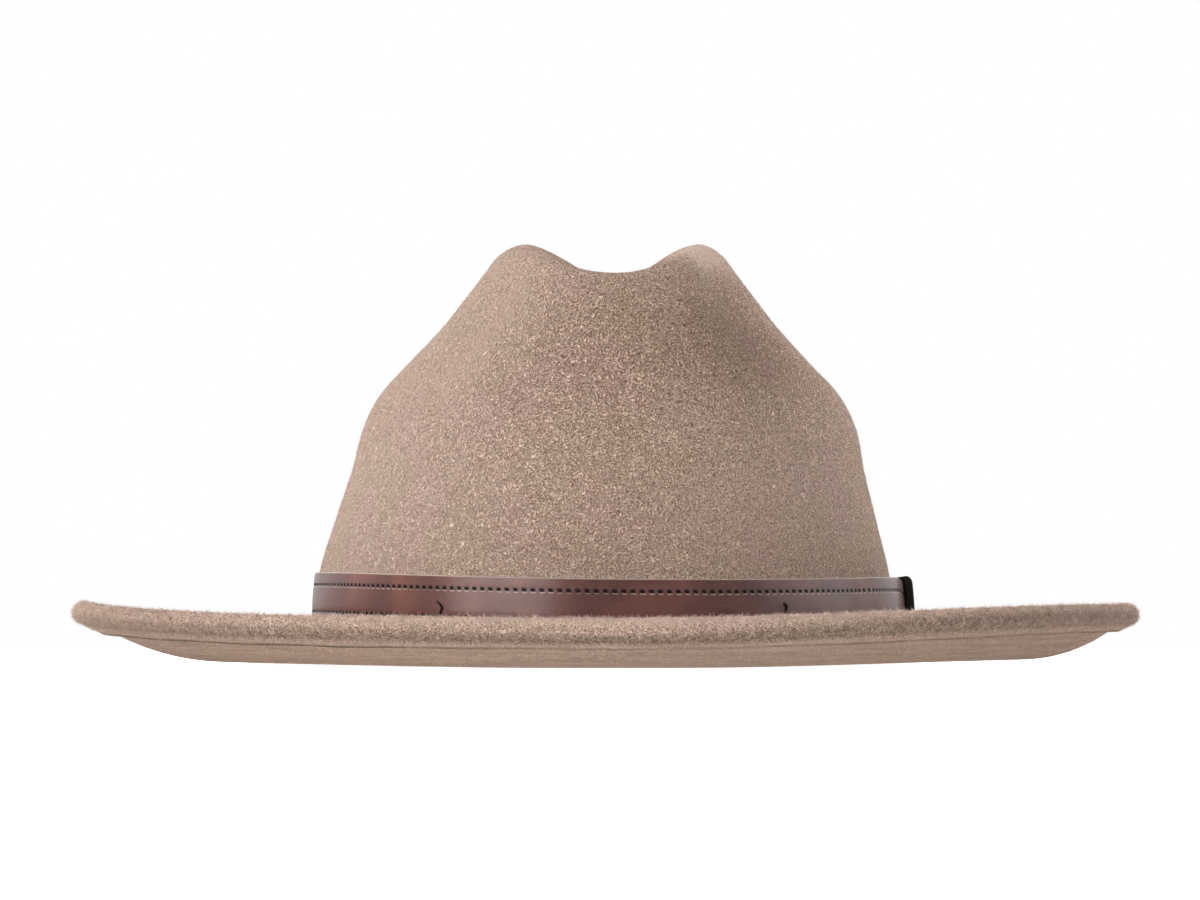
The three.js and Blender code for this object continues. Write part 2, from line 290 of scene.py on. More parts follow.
@dataclass(frozen=True)
class HatForm:
    """The felt's own surfaces, as functions of the angle round the hat."""

    felt: float = 3.0
    brim_half_width: float = 155.0
    brim_half_length: float = 174.0
    break_radius: float = 4.5
    break_tilt: float = 1.0
    low_ring: float = 22.0
    welt: float = 5.4
    welt_hem: float = 4.9
    edge_inset: float = 3.0
    crown_lean: float = 1.4
    top_lean: float = 0.4
    tilt_levels: float = 4.0
    lean_levels: tuple[float, float] = (1.0, 4.0)
    top_lean_levels: tuple[float, float] = (5.0, 7.0)
    normal_step: float = 0.02
    below_foot: float = 0.88
    before_end: float = 0.5
    pinch_angle: float = 54.0
    pinch_spread: float = 20.0
    pinch_pull: float = 0.4
    curl_height: Round = Round(12.1, 13.4, 9.8, 10.4, 1.2, 4.5)
    curl_reach: Round = Round(30.0, 42.0, 40.0, 38.0)
    curl_power: float = 2.2
    side_lift: Sides = Sides(1.7, 1.0)
    flat_share: float = 0.15
    welt_width: Round = Round(6.5, 9.5, 10.0, 10.0)
    corner_lobe: Sides = Sides(0.6, 0.42)
    side_lobe: Sides = Sides(0.38, 0.44)

    @property
    def top(self) -> float:
        """The level of the last ring, the line at the bottom of the crease."""
        return float(len(CROWN_TABLE) - 1)

    def ring(self, level: Array) -> dict[str, Array]:
        """Catmull-Rom curve through each column of the ring table.

        Args:
            level: Position along the table's rows.

        Returns:
            Each column's value at each level.
        """
        last = len(CROWN_TABLE) - 1
        row = np.clip(np.floor(level), 0, last - 1).astype(int)
        u = (np.asarray(level) - row)[..., None]
        a, b, c, d = (CROWN_TABLE[np.clip(row + step, 0, last)] for step in (-1, 0, 1, 2))
        bend, twist = 2 * a - 5 * b + 4 * c - d, 3 * b - a - 3 * c + d
        value = b + 0.5 * u * (c - a + u * (bend + u * twist))
        return {name: value[..., i] for i, name in enumerate(RING_COLUMNS)}

    def crown(self, theta: Array, level: Array) -> Array:
        """Outer surface of the crown.

        Each ring is an egg: x = width cos(theta) and y = reach sin(theta), with two
        Gaussian dents beside the front. Height blends from end to side by cos^2, plus
        a lift shared between sin^2(2 theta) at the front corners and cos^2 at the sides.

        Args:
            theta: Angle from the wearer's left, in radians.
            level: Position along the ring table.

        Returns:
            Points in millimetres.
        """
        theta, level = np.broadcast_arrays(np.asarray(theta, float), np.asarray(level, float))
        r = self.ring(level)
        c, s = np.cos(theta), np.sin(theta)
        front = s < 0
        off_front = np.abs(np.degrees(np.arctan2(c, -s)))
        dent = r["pinch"] * bell(off_front, self.pinch_angle, self.pinch_spread)
        height = mix(np.where(front, r["front_z"], r["back_z"]), r["side_z"], c * c)
        corner = np.where(front, 4 * s * s * c * c, 0.0)
        lift = r["lift"] * (self.corner_lobe.at(theta) * corner + self.side_lobe.at(theta) * c * c)
        x = r["width"] * c * (1 - dent) * (1 + r["teardrop"] * s)
        y = np.where(front, r["front"], r["back"]) * s * (1 - self.pinch_pull * dent)
        z = height + lift - self.break_tilt * c * (1 - smooth(level / self.tilt_levels))
        x = x + self.crown_lean * eased(level, *self.lean_levels)
        return np.stack([x + self.top_lean * eased(level, *self.top_lean_levels), y, z], axis=-1)

    def crown_normal(self, theta: Array, level: Array) -> Array:
        """Outward normal of the crown, by differences across a small step."""
        step = self.normal_step
        level = np.clip(level, -self.below_foot, self.top - self.before_end)
        up = self.crown(theta, level + step) - self.crown(theta, level - step)
        along = self.crown(theta + step, level) - self.crown(theta - step, level)
        return unit(np.cross(along, up))

    def crown_inside(self, theta: Array, level: Array) -> Array:
        """Inner surface of the crown: the outer one moved in by the felt's thickness."""
        at = np.clip(level, self.normal_step, self.top - self.before_end)
        return self.crown(theta, level) - self.felt * self.crown_normal(theta, at)

    def brim_width(self, theta: Array) -> Array:
        """Distance from the foot of the crown wall to the brim's edge."""
        across = (self.brim_half_width - CROWN_TABLE[0, 0]) * np.cos(theta)
        along = (self.brim_half_length - CROWN_TABLE[0, 1]) * np.sin(theta)
        return np.hypot(across, along)

    def brim_height(self, theta: Array, distance: Array) -> Array:
        """Top of the brim: an eased fall to the low ring, then a power curve to the edge.

        The ring lies flat in front and behind and rises a little towards the sides.
        """
        foot = self.crown(theta, 0.0)[..., 2] - self.break_radius
        fall = 1 - eased(distance, self.break_radius, self.low_ring)
        reach = self.curl_reach.at(theta)
        share = (distance + self.edge_inset - self.brim_width(theta)) / reach + 1
        curl = self.curl_height.at(theta) * np.maximum(share, 0) ** self.curl_power
        sideways = eased(np.abs(np.cos(theta)), self.flat_share, 1.0)
        lift = self.side_lift.at(theta) * sideways * (1 - fall)
        return self.felt + (foot - self.felt) * fall + curl + lift

    def brim(self, theta: Array, distance: Array, depth: Array | float = 0.0) -> Array:
        """A point on the brim, a depth below its top and square to it.

        Args:
            theta: Angle from the wearer's left, in radians.
            distance: Distance out from the foot of the crown wall.
            depth: Depth below the brim's top surface.

        Returns:
            Points in millimetres.
        """
        step = 0.5
        rise = self.brim_height(theta, distance + step) - self.brim_height(theta, distance - step)
        angle = np.where(distance > self.break_radius, np.arctan(rise / (2 * step)), 0.0)
        share = (distance + depth * np.sin(angle)) / self.brim_width(theta)
        x = mix(CROWN_TABLE[0, 0], self.brim_half_width, share) * np.cos(theta)
        y = mix(CROWN_TABLE[0, 1], self.brim_half_length, share) * np.sin(theta)
        z = self.brim_height(theta, distance) - depth * np.cos(angle)
        return np.stack([x, y, z], axis=-1)

    def hollow_corner(self, theta: Array, turn: Array, depth: float = 0.0) -> Array:
        """The rounded corner between wall and brim: a quarter circle, 0 at the wall."""
        angle = turn * math.pi / 2
        radius = self.break_radius + depth
        point = self.brim(theta, self.break_radius - radius * np.cos(angle))
        z = self.crown(theta, 0.0)[..., 2] - radius * np.sin(angle)
        z = np.broadcast_to(z, point.shape[:-1])
        return np.concatenate([point[..., :2], z[..., None]], axis=-1)

    def brim_edge(self, theta: Array, turn: Array) -> Array:
        """The rounded edge: a half circle of the welt's thickness, from top to underside."""
        distance = self.brim_width(theta) - self.edge_inset
        top, under = self.brim(theta, distance), self.brim(theta, distance, self.welt)
        across = unit(top - under)
        tangent = np.stack([-np.sin(theta), np.cos(theta), np.zeros_like(theta)], axis=-1)
        outward = unit(np.cross(tangent, across))
        angle = (turn * math.pi)[..., None]
        return (top + under) / 2 + self.welt / 2 * (across * np.cos(angle) + outward * np.sin(angle))


# Node trees


@dataclass
class Tree:
    """Short ways to add and join nodes in a material or a node group."""

    tree: bpy.types.NodeTree

    def add(self, kind: str, inputs: dict | None = None, **settings) -> bpy.types.Node:
        """Adds a node, with a value or a link for each of its named or numbered inputs."""
        node = self.tree.nodes.new(kind)
        for key, value in settings.items():
            setattr(node, key, value)
        for key, value in (inputs or {}).items():
            self.feed(node.inputs[key], value)
        return node

    def feed(self, socket: Socket, value) -> None:
        """Links a socket from another one, or sets it to a plain value."""
        if isinstance(value, Socket):
            self.tree.links.new(value, socket)
        else:
            socket.default_value = value

    def maths(self, operation: str, a, b=0.0) -> Socket:
        """A Math node's result."""
        return self.add("ShaderNodeMath", {0: a, 1: b}, operation=operation).outputs[0]

    def scaled_sum(self, *terms: tuple) -> Socket:
        """The sum of values, each times its own weight."""
        total = self.maths("MULTIPLY", *terms[0])
        for value, weight in terms[1:]:
            total = self.maths("ADD", total, self.maths("MULTIPLY", value, weight))
        return total

    def vector(self, operation: str, a, b) -> Socket:
        """A Vector Math node's vector."""
        return self.add("ShaderNodeVectorMath", {0: a, 1: b}, operation=operation).outputs[0]

    def noise(self, vector, scale, *, detail: float = 3.0, roughness: float = 0.6, twist: float = 0.0):
        """The value of a noise texture."""
        sockets = {"Vector": vector, "Scale": scale, "Detail": detail, "Roughness": roughness}
        return self.add("ShaderNodeTexNoise", sockets | {"Distortion": twist}).outputs[0]

    def span(self, value, low, high, to_low=0.0, to_high=1.0) -> Socket:
        """A value carried from one range to another and held inside it."""
        sockets = {"Value": value, "From Min": low, "From Max": high, "To Min": to_low, "To Max": to_high}
        return self.add("ShaderNodeMapRange", sockets).outputs[0]

    def blend(self, share, a, b, kind: str = "MIX") -> Socket:
        """Two colours mixed by a share."""
        node = self.add("ShaderNodeMix", data_type="RGBA", blend_type=kind)
        for i, value in ((0, share), (6, a), (7, b)):
            self.feed(node.inputs[i], (*value, 1.0) if isinstance(value, tuple) else value)
        return node.outputs[2]


@dataclass(frozen=True)
class GroupSpec:
    """A shader node group with named inputs and outputs, built once."""

    name: str
    inputs: tuple[tuple[str, str, float], ...]
    outputs: tuple[str, ...]
    fill: Callable[[Tree, bpy.types.Node], Iterable[Socket]]

    def get(self) -> bpy.types.NodeTree:
        """The group, made at the first call."""
        found = bpy.data.node_groups.get(self.name)
        if found:
            return found
        group = bpy.data.node_groups.new(self.name, "ShaderNodeTree")
        for name, kind, value in self.inputs:
            socket = group.interface.new_socket(name, in_out="INPUT", socket_type=kind)
            if kind == "NodeSocketFloat":
                socket.default_value = value
        for name in self.outputs:
            group.interface.new_socket(name, in_out="OUTPUT", socket_type="NodeSocketFloat")
        tree = Tree(group)
        entry, leave = tree.add("NodeGroupInput"), tree.add("NodeGroupOutput")
        for i, socket in enumerate(self.fill(tree, entry)):
            group.links.new(socket, leave.inputs[i])
        return group

    def place(self, tree: Tree, **values) -> bpy.types.Node:
        """Puts the group in a tree with its own values."""
        node = tree.add("ShaderNodeGroup")
        node.node_tree = self.get()
        for key, value in values.items():
            tree.feed(node.inputs[key.title()], value)
        return node


# Scales and shares inside the shared groups, and the stitch pitch in millimetres

WOOL_BEND = 0.003
THREAD_SCALE = 0.6
SPECK_SHARE, THREAD_SHARE, CLUMP_SHARE = 0.68, 0.26, 0.06
THREAD_HEIGHT = 0.8
PORE_SCALE, SCRATCH_SCALE = 1.7, 0.75
SCRATCH_STRETCH = (0.22, 0.22, 1.6)
CLOUD_SHARE, PORE_SHARE = 0.7, 0.3
CREASE_HEIGHT, PORE_HEIGHT = 0.5, 0.5
STITCH_PITCH = 2.5
SLOT_SLANT = 0.3
LIP_DROP, LIP_THINNESS = 1.3, 2.3


def fill_heather(tree: Tree, entry: bpy.types.Node) -> list[Socket]:
    """Tangled wool: crisp curled specks and short threads over clumps, and slow clouds.

    Args:
        tree: The group's tree.
        entry: The group's input node.

    Returns:
        The tone, the clouds and the height.
    """
    place, fibre, clump, cloud = (entry.outputs[i] for i in range(4))
    warp = tree.add("ShaderNodeTexNoise", {"Vector": place, "Scale": clump, "Detail": 2.0})
    bend = {0: warp.outputs[1], "Scale": WOOL_BEND}
    nudge = tree.add("ShaderNodeVectorMath", bend, operation="SCALE")
    bent = tree.vector("ADD", place, nudge.outputs[0])
    specks = tree.span(tree.noise(bent, fibre, detail=2.0, twist=0.9), 0.41, 0.59)
    threads = tree.noise(bent, tree.maths("MULTIPLY", fibre, THREAD_SCALE), detail=2.0, twist=1.6)
    threads = tree.span(threads, 0.36, 0.64)
    clumps = tree.span(tree.noise(place, clump, twist=0.6), 0.3, 0.7)
    clouds = tree.span(tree.noise(place, cloud, detail=2.0, roughness=0.5), 0.3, 0.7)
    tone = tree.scaled_sum((specks, SPECK_SHARE), (threads, THREAD_SHARE), (clumps, CLUMP_SHARE))
    return [tone, clouds, tree.scaled_sum((specks, 1.0), (threads, THREAD_HEIGHT))]


HEATHER = GroupSpec(
    "wool_heather",
    (
        ("Place", "NodeSocketVector", 0.0),
        ("Fibre", "NodeSocketFloat", 2550.0),
        ("Clump", "NodeSocketFloat", 300.0),
        ("Cloud", "NodeSocketFloat", 45.0),
    ),
    ("Tone", "Clouds", "Height"),
    fill_heather,
)


def fill_grain(tree: Tree, entry: bpy.types.Node) -> list[Socket]:
    """Leather grain: small rounded cells and pores, long scratches and slow clouds.

    Args:
        tree: The group's tree.
        entry: The group's input node.

    Returns:
        The tone, the grain's height and the scratches.
    """
    place, cell, cloud = (entry.outputs[i] for i in range(3))
    where = {"Vector": place, "Scale": cell, "Randomness": 1.0}
    cells = tree.add("ShaderNodeTexVoronoi", where, feature="DISTANCE_TO_EDGE")
    crease = tree.span(cells.outputs["Distance"], 0.0, 0.16)
    pores = tree.noise(place, tree.maths("MULTIPLY", cell, PORE_SCALE))
    clouds = tree.noise(place, cloud, detail=2.0, roughness=0.55, twist=0.6)
    stretch = tree.add("ShaderNodeMapping", {"Vector": place, "Scale": SCRATCH_STRETCH})
    fine = tree.maths("MULTIPLY", cell, SCRATCH_SCALE)
    scratch = tree.span(tree.noise(stretch.outputs[0], fine, detail=2.0, twist=1.2), 0.6, 0.74)
    tone = tree.span(tree.scaled_sum((clouds, CLOUD_SHARE), (pores, PORE_SHARE)), 0.32, 0.68)
    height = tree.scaled_sum((crease, CREASE_HEIGHT), (pores, PORE_HEIGHT))
    return [tone, height, scratch]


GRAIN = GroupSpec(
    "leather_grain",
    (
        ("Place", "NodeSocketVector", 0.0),
        ("Cell", "NodeSocketFloat", 2200.0),
        ("Cloud", "NodeSocketFloat", 50.0),
    ),
    ("Tone", "Height", "Scratch"),
    fill_grain,
)


def fill_slots(tree: Tree, entry: bpy.types.Node) -> list[Socket]:
    """One sewn line: a slot in each pitch, |a|^4 + |b|^4 < 1, with a lip below it, which the leather raises
    with its bump and paints with a pale glint.

    a and b are the distances from the slot's middle along and across the line, over
    its half length and half height. The lip's own middle is 1.3 half heights down.

    Args:
        tree: The group's tree.
        entry: The group's input node.

    Returns:
        The slots and their lips, from 0 to 1.
    """
    run, off, pitch, half_length, half_height = (entry.outputs[i] for i in range(5))
    slanted = tree.maths("ADD", run, tree.maths("MULTIPLY", off, SLOT_SLANT))
    turn = tree.maths("FRACT", tree.maths("DIVIDE", slanted, pitch))
    along = tree.maths("MULTIPLY", tree.maths("ABSOLUTE", tree.maths("SUBTRACT", turn, 0.5)), pitch)
    a = tree.maths("POWER", tree.maths("DIVIDE", along, half_length), 4.0)
    b = tree.maths("POWER", tree.maths("DIVIDE", tree.maths("ABSOLUTE", off), half_height), 4.0)
    slot = tree.span(tree.maths("ADD", a, b), 1.5, 0.6)
    below = tree.maths("ADD", tree.maths("DIVIDE", off, half_height), LIP_DROP)
    below = tree.maths("MULTIPLY", tree.maths("ABSOLUTE", below), LIP_THINNESS)
    below = tree.maths("POWER", below, 2.0)
    lip = tree.span(tree.maths("ADD", a, below), 1.6, 0.6)
    return [slot, lip]


SLOTS = GroupSpec(
    "sewn_slots",
    (
        ("Run", "NodeSocketFloat", 0.0),
        ("Off", "NodeSocketFloat", 0.0),
        ("Pitch", "NodeSocketFloat", STITCH_PITCH),
        ("Half Length", "NodeSocketFloat", 0.78),
        ("Half Height", "NodeSocketFloat", 0.47),
    ),
    ("Slot", "Lip"),
    fill_slots,
)


@dataclass(frozen=True)
class Finish:
    """What every finish has: a name, and a way to become a material."""

    name: str

    def start(self) -> tuple[Material, Tree, bpy.types.Node, Socket]:
        """A new material with an empty tree, its shader, and object coordinates."""
        material = bpy.data.materials.new(self.name)
        material.use_nodes = True
        material.node_tree.nodes.clear()
        tree = Tree(material.node_tree)
        shader = tree.add("ShaderNodeBsdfPrincipled")
        tree.add("ShaderNodeOutputMaterial", {"Surface": shader.outputs[0]})
        place = tree.add("ShaderNodeTexCoord").outputs["Object"]
        return material, tree, shader, place

    @staticmethod
    def carried(tree: Tree, name: str) -> Socket:
        """A value that the mesh's points carry."""
        return tree.add("ShaderNodeAttribute", attribute_name=name).outputs["Fac"]

    @staticmethod
    def relief(tree: Tree, shader: bpy.types.Node, height, depth: float) -> None:
        """Feeds a height to the shader through a bump, with its depth in metres."""
        bump = tree.add("ShaderNodeBump", {"Height": height, "Distance": depth, "Strength": 1.0})
        tree.feed(shader.inputs["Normal"], bump.outputs[0])

    @staticmethod
    def wire(tree: Tree, shader: bpy.types.Node, sockets: dict) -> None:
        """Sets or links the shader's sockets by name."""
        for key, value in sockets.items():
            tree.feed(shader.inputs[key], value)


@dataclass(frozen=True)
class FeltFinish(Finish):
    """Heathered wool felt."""

    dark: Colour = (0.165, 0.095, 0.062)
    middle: Colour = (0.605, 0.397, 0.297)
    pale: Colour = (1.0, 0.785, 0.665)
    # Colour of the painted shade on the fringe and along the welt's raw edge.
    gap: Colour = (0.125, 0.080, 0.040)
    olive: Colour = (0.97, 0.985, 0.93)
    pink: Colour = (1.0, 0.965, 0.985)
    worn_tint: Colour = (0.91, 1.0, 1.02)
    wear: float = 0.75
    # How dark the painted shade gets on the fringe and along the welt's raw edge.
    fringe_shade: float = 0.9
    hem_shadow_strength: float = 0.95
    depth: float = 0.0004
    # Scales of the noise that breaks the painted shade into tufts and into a broken line.
    tuft_shade_scale: float = 620.0
    hem_shadow_scale: float = 130.0
    sheen: float = 0.09
    oval: tuple[float, float, float] = (1.0, 0.89, 0.0)
    streak_drift: tuple[float, float, float] = (0.07, 0.07, 0.0)
    streak_scale: float = 700.0

    def make(self) -> Material:
        """Three wool colours by tone, smoother where worn, with painted light and shade from the pale mark,
        and painted shade on the fringe and along the welt's raw edge.
        """
        material, tree, shader, place = self.start()
        tone, clouds, height = HEATHER.place(tree, place=place).outputs[:3]
        worn = tree.maths("MULTIPLY", self.carried(tree, "worn"), self.wear)
        streaks = self.streaks(tree, place)
        tone = tree.span(worn, 0.0, 1.0, tone, streaks)
        # Painted light and shade, carried by the pale mark, lighten or darken the tone.
        tone = tree.maths("ADD", tone, self.carried(tree, "pale"))
        low = tree.blend(tree.span(tone, 0.1, 0.5), self.dark, self.middle)
        colour = tree.blend(tree.span(tone, 0.5, 0.9), low, self.pale)
        tint = tree.blend(clouds, self.olive, self.pink)
        tint = tree.blend(worn, tint, self.worn_tint)
        colour = tree.blend(1.0, colour, tint, "MULTIPLY")
        # Painted shade on the fringe, broken up between tufts.
        tuft_shade = tree.noise(place, self.tuft_shade_scale, roughness=0.65, twist=0.9)
        tuft_shade = tree.span(tuft_shade, 0.4, 0.6, 0.3, 1.0)
        fringe = tree.maths("MULTIPLY", self.carried(tree, "fringe"), tuft_shade)
        fringe = tree.maths("MULTIPLY", fringe, self.fringe_shade)
        # Painted shade: a thin broken line along the welt's raw edge, where it stands over the underside.
        broken = tree.span(tree.noise(place, self.hem_shadow_scale), 0.34, 0.52, 0.6, 1.0)
        hem_shadow = tree.maths("MULTIPLY", self.carried(tree, "hem_shadow"), broken)
        hem_shadow = tree.maths("MULTIPLY", hem_shadow, self.hem_shadow_strength)
        shade = tree.maths("MAXIMUM", fringe, hem_shadow)
        colour = tree.blend(shade, colour, self.gap)
        self.wire(tree, shader, {"Base Color": colour, "Roughness": 0.95, "Specular IOR Level": 0.1})
        self.wire(tree, shader, {"Sheen Weight": self.sheen, "Sheen Roughness": 0.4})
        self.relief(tree, shader, height, self.depth)
        return material

    def streaks(self, tree: Tree, place: Socket) -> Socket:
        """Tone of rubbed felt: long faint lines that follow the brim's oval.

        Args:
            tree: The material's tree.
            place: Object coordinates.

        Returns:
            The tone, near its middle.
        """
        oval = tree.vector("MULTIPLY", place, self.oval)
        radius = tree.add("ShaderNodeVectorMath", {0: oval}, operation="LENGTH").outputs["Value"]
        across = tree.add("ShaderNodeCombineXYZ", {2: radius}).outputs[0]
        slow = tree.vector("MULTIPLY", place, self.streak_drift)
        lines = tree.noise(tree.vector("ADD", slow, across), self.streak_scale, twist=0.4)
        return tree.span(lines, 0.3, 0.7, 0.42, 0.68)


@dataclass(frozen=True)
class NapFinish(Finish):
    """Loose fibres on the felt, each with its own tone."""

    dark: Colour = (0.22, 0.135, 0.09)
    pale: Colour = (1.0, 0.78, 0.67)

    def make(self) -> Material:
        """Colour by each fibre's own tone value."""
        material, tree, shader, _ = self.start()
        colour = tree.blend(self.carried(tree, "tone"), self.dark, self.pale)
        self.wire(tree, shader, {"Base Color": colour, "Roughness": 0.9, "Specular IOR Level": 0.2})
        self.wire(tree, shader, {"Sheen Weight": 0.1, "Sheen Roughness": 0.5})
        return material


@dataclass(frozen=True)
class LeatherFinish(Finish):
    """Smooth dyed leather with a raw edge."""

    dark: Colour = (0.070, 0.017, 0.011)
    middle: Colour = (0.128, 0.035, 0.024)
    pale: Colour = (0.225, 0.078, 0.056)
    # Pale colour of the raw edge, also used for the painted glint on the lips below the slots.
    edge: Colour = (0.55, 0.44, 0.38)
    # Colour of the painted shade in the stitch holes round the thread.
    hole: Colour = (0.012, 0.006, 0.005)
    roughness: float = 0.42
    coat: float = 0.36
    shine: float = 0.42
    cell: float = 2200.0
    grain_depth: float = 0.15
    slot_depth: float = 0.3
    lip_height: float = 0.12
    # Painted highlight: how pale the glint on the lips below the slots gets, and the scale of its slow
    # change.
    lip_glint_span: Span = (0.22, 0.7)
    lip_glint_scale: float = 55.0
    scratch_share: float = 0.65
    roughness_change: Span = (-0.05, 0.06)
    rim_roughness: float = 0.3
    coat_roughness: float = 0.25
    sewn: bool = True

    def make(self) -> Material:
        """Three browns by tone with scratches and a grain bump, and the sewn slots with painted shade in
        them and a painted glint on their lips.
        """
        material, tree, shader, place = self.start()
        tone, height, scratch = GRAIN.place(tree, place=place, cell=self.cell).outputs[:3]
        low = tree.blend(tree.span(tone, 0.0, 0.5), self.dark, self.middle)
        colour = tree.blend(tree.span(tone, 0.5, 1.0), low, self.pale)
        colour = tree.blend(tree.maths("MULTIPLY", scratch, self.scratch_share), colour, self.pale)
        rim = self.carried(tree, "rim")
        colour = tree.blend(rim, colour, self.edge)
        height = tree.maths("MULTIPLY", height, self.grain_depth)
        if self.sewn:
            run = self.carried(tree, "run")
            # Painted highlight: a pale glint on the lip below each slot, stronger in some places than
            # others.
            slow = tree.noise(place, self.lip_glint_scale, detail=1.0, roughness=0.55)
            lip_glint = tree.span(slow, 0.38, 0.62, *self.lip_glint_span)
            for line in ("upper", "lower"):
                slot, lip = SLOTS.place(tree, run=run, off=self.carried(tree, line)).outputs[:2]
                colour = tree.blend(tree.maths("MULTIPLY", lip, lip_glint), colour, self.edge)
                # Painted shade in the stitch holes round the thread.
                colour = tree.blend(slot, colour, self.hole)
                sewn = ((height, 1.0), (slot, -self.slot_depth), (lip, self.lip_height))
                height = tree.scaled_sum(*sewn)
        smoothest, roughest = (self.roughness + change for change in self.roughness_change)
        rough = tree.span(tone, 0.0, 1.0, smoothest, roughest)
        rough = tree.scaled_sum((rough, 1.0), (rim, self.rim_roughness))
        self.wire(tree, shader, {"Base Color": colour, "Roughness": rough, "Coat Weight": self.coat})
        self.wire(tree, shader, {"Coat Roughness": self.coat_roughness, "Specular IOR Level": self.shine})
        self.relief(tree, shader, height, MM)
        return material


@dataclass(frozen=True)
class ThreadFinish(Finish):
    """Waxed sewing thread."""

    colour: Colour = (0.010, 0.005, 0.004)
    pale: Colour = (0.035, 0.018, 0.014)
    twist_scale: float = 2600.0
    depth: float = 0.00008

    def make(self) -> Material:
        """Dark dull thread with a fine twist in colour and bump."""
        material, tree, shader, place = self.start()
        twist = tree.noise(place, self.twist_scale)
        colour = tree.blend(tree.span(twist, 0.4, 0.7), self.colour, self.pale)
        self.wire(tree, shader, {"Base Color": colour, "Roughness": 0.8, "Specular IOR Level": 0.08})
        self.relief(tree, shader, twist, self.depth)
        return material


@dataclass(frozen=True)
class FloorFinish(Finish):
    """Plain white floor, lit from behind like a light table."""

    colour: Colour = (0.90, 0.90, 0.90)
    glow: float = 0.74
    seen_glow: float = 0.92
    shade_scale: float = 3.0

    def make(self) -> Material:
        """Matte white with a glow, which is stronger for the camera than for the hat."""
        material, tree, shader, place = self.start()
        slow = tree.noise(place, self.shade_scale, detail=2.0, roughness=0.55)
        shade = tree.span(slow, 0.3, 0.7, 0.97, 1.0)
        grey = tree.add("ShaderNodeCombineColor", {0: shade, 1: shade, 2: shade}).outputs[0]
        colour = tree.blend(1.0, self.colour, grey, "MULTIPLY")
        seen = tree.add("ShaderNodeLightPath").outputs["Is Camera Ray"]
        glow = tree.blend(seen, (self.glow,) * 3, (self.seen_glow,) * 3)
        self.wire(tree, shader, {"Base Color": colour, "Roughness": 0.9, "Specular IOR Level": 0.1})
        self.wire(tree, shader, {"Emission Color": glow, "Emission Strength": 1.0})
        return material


# Felt body


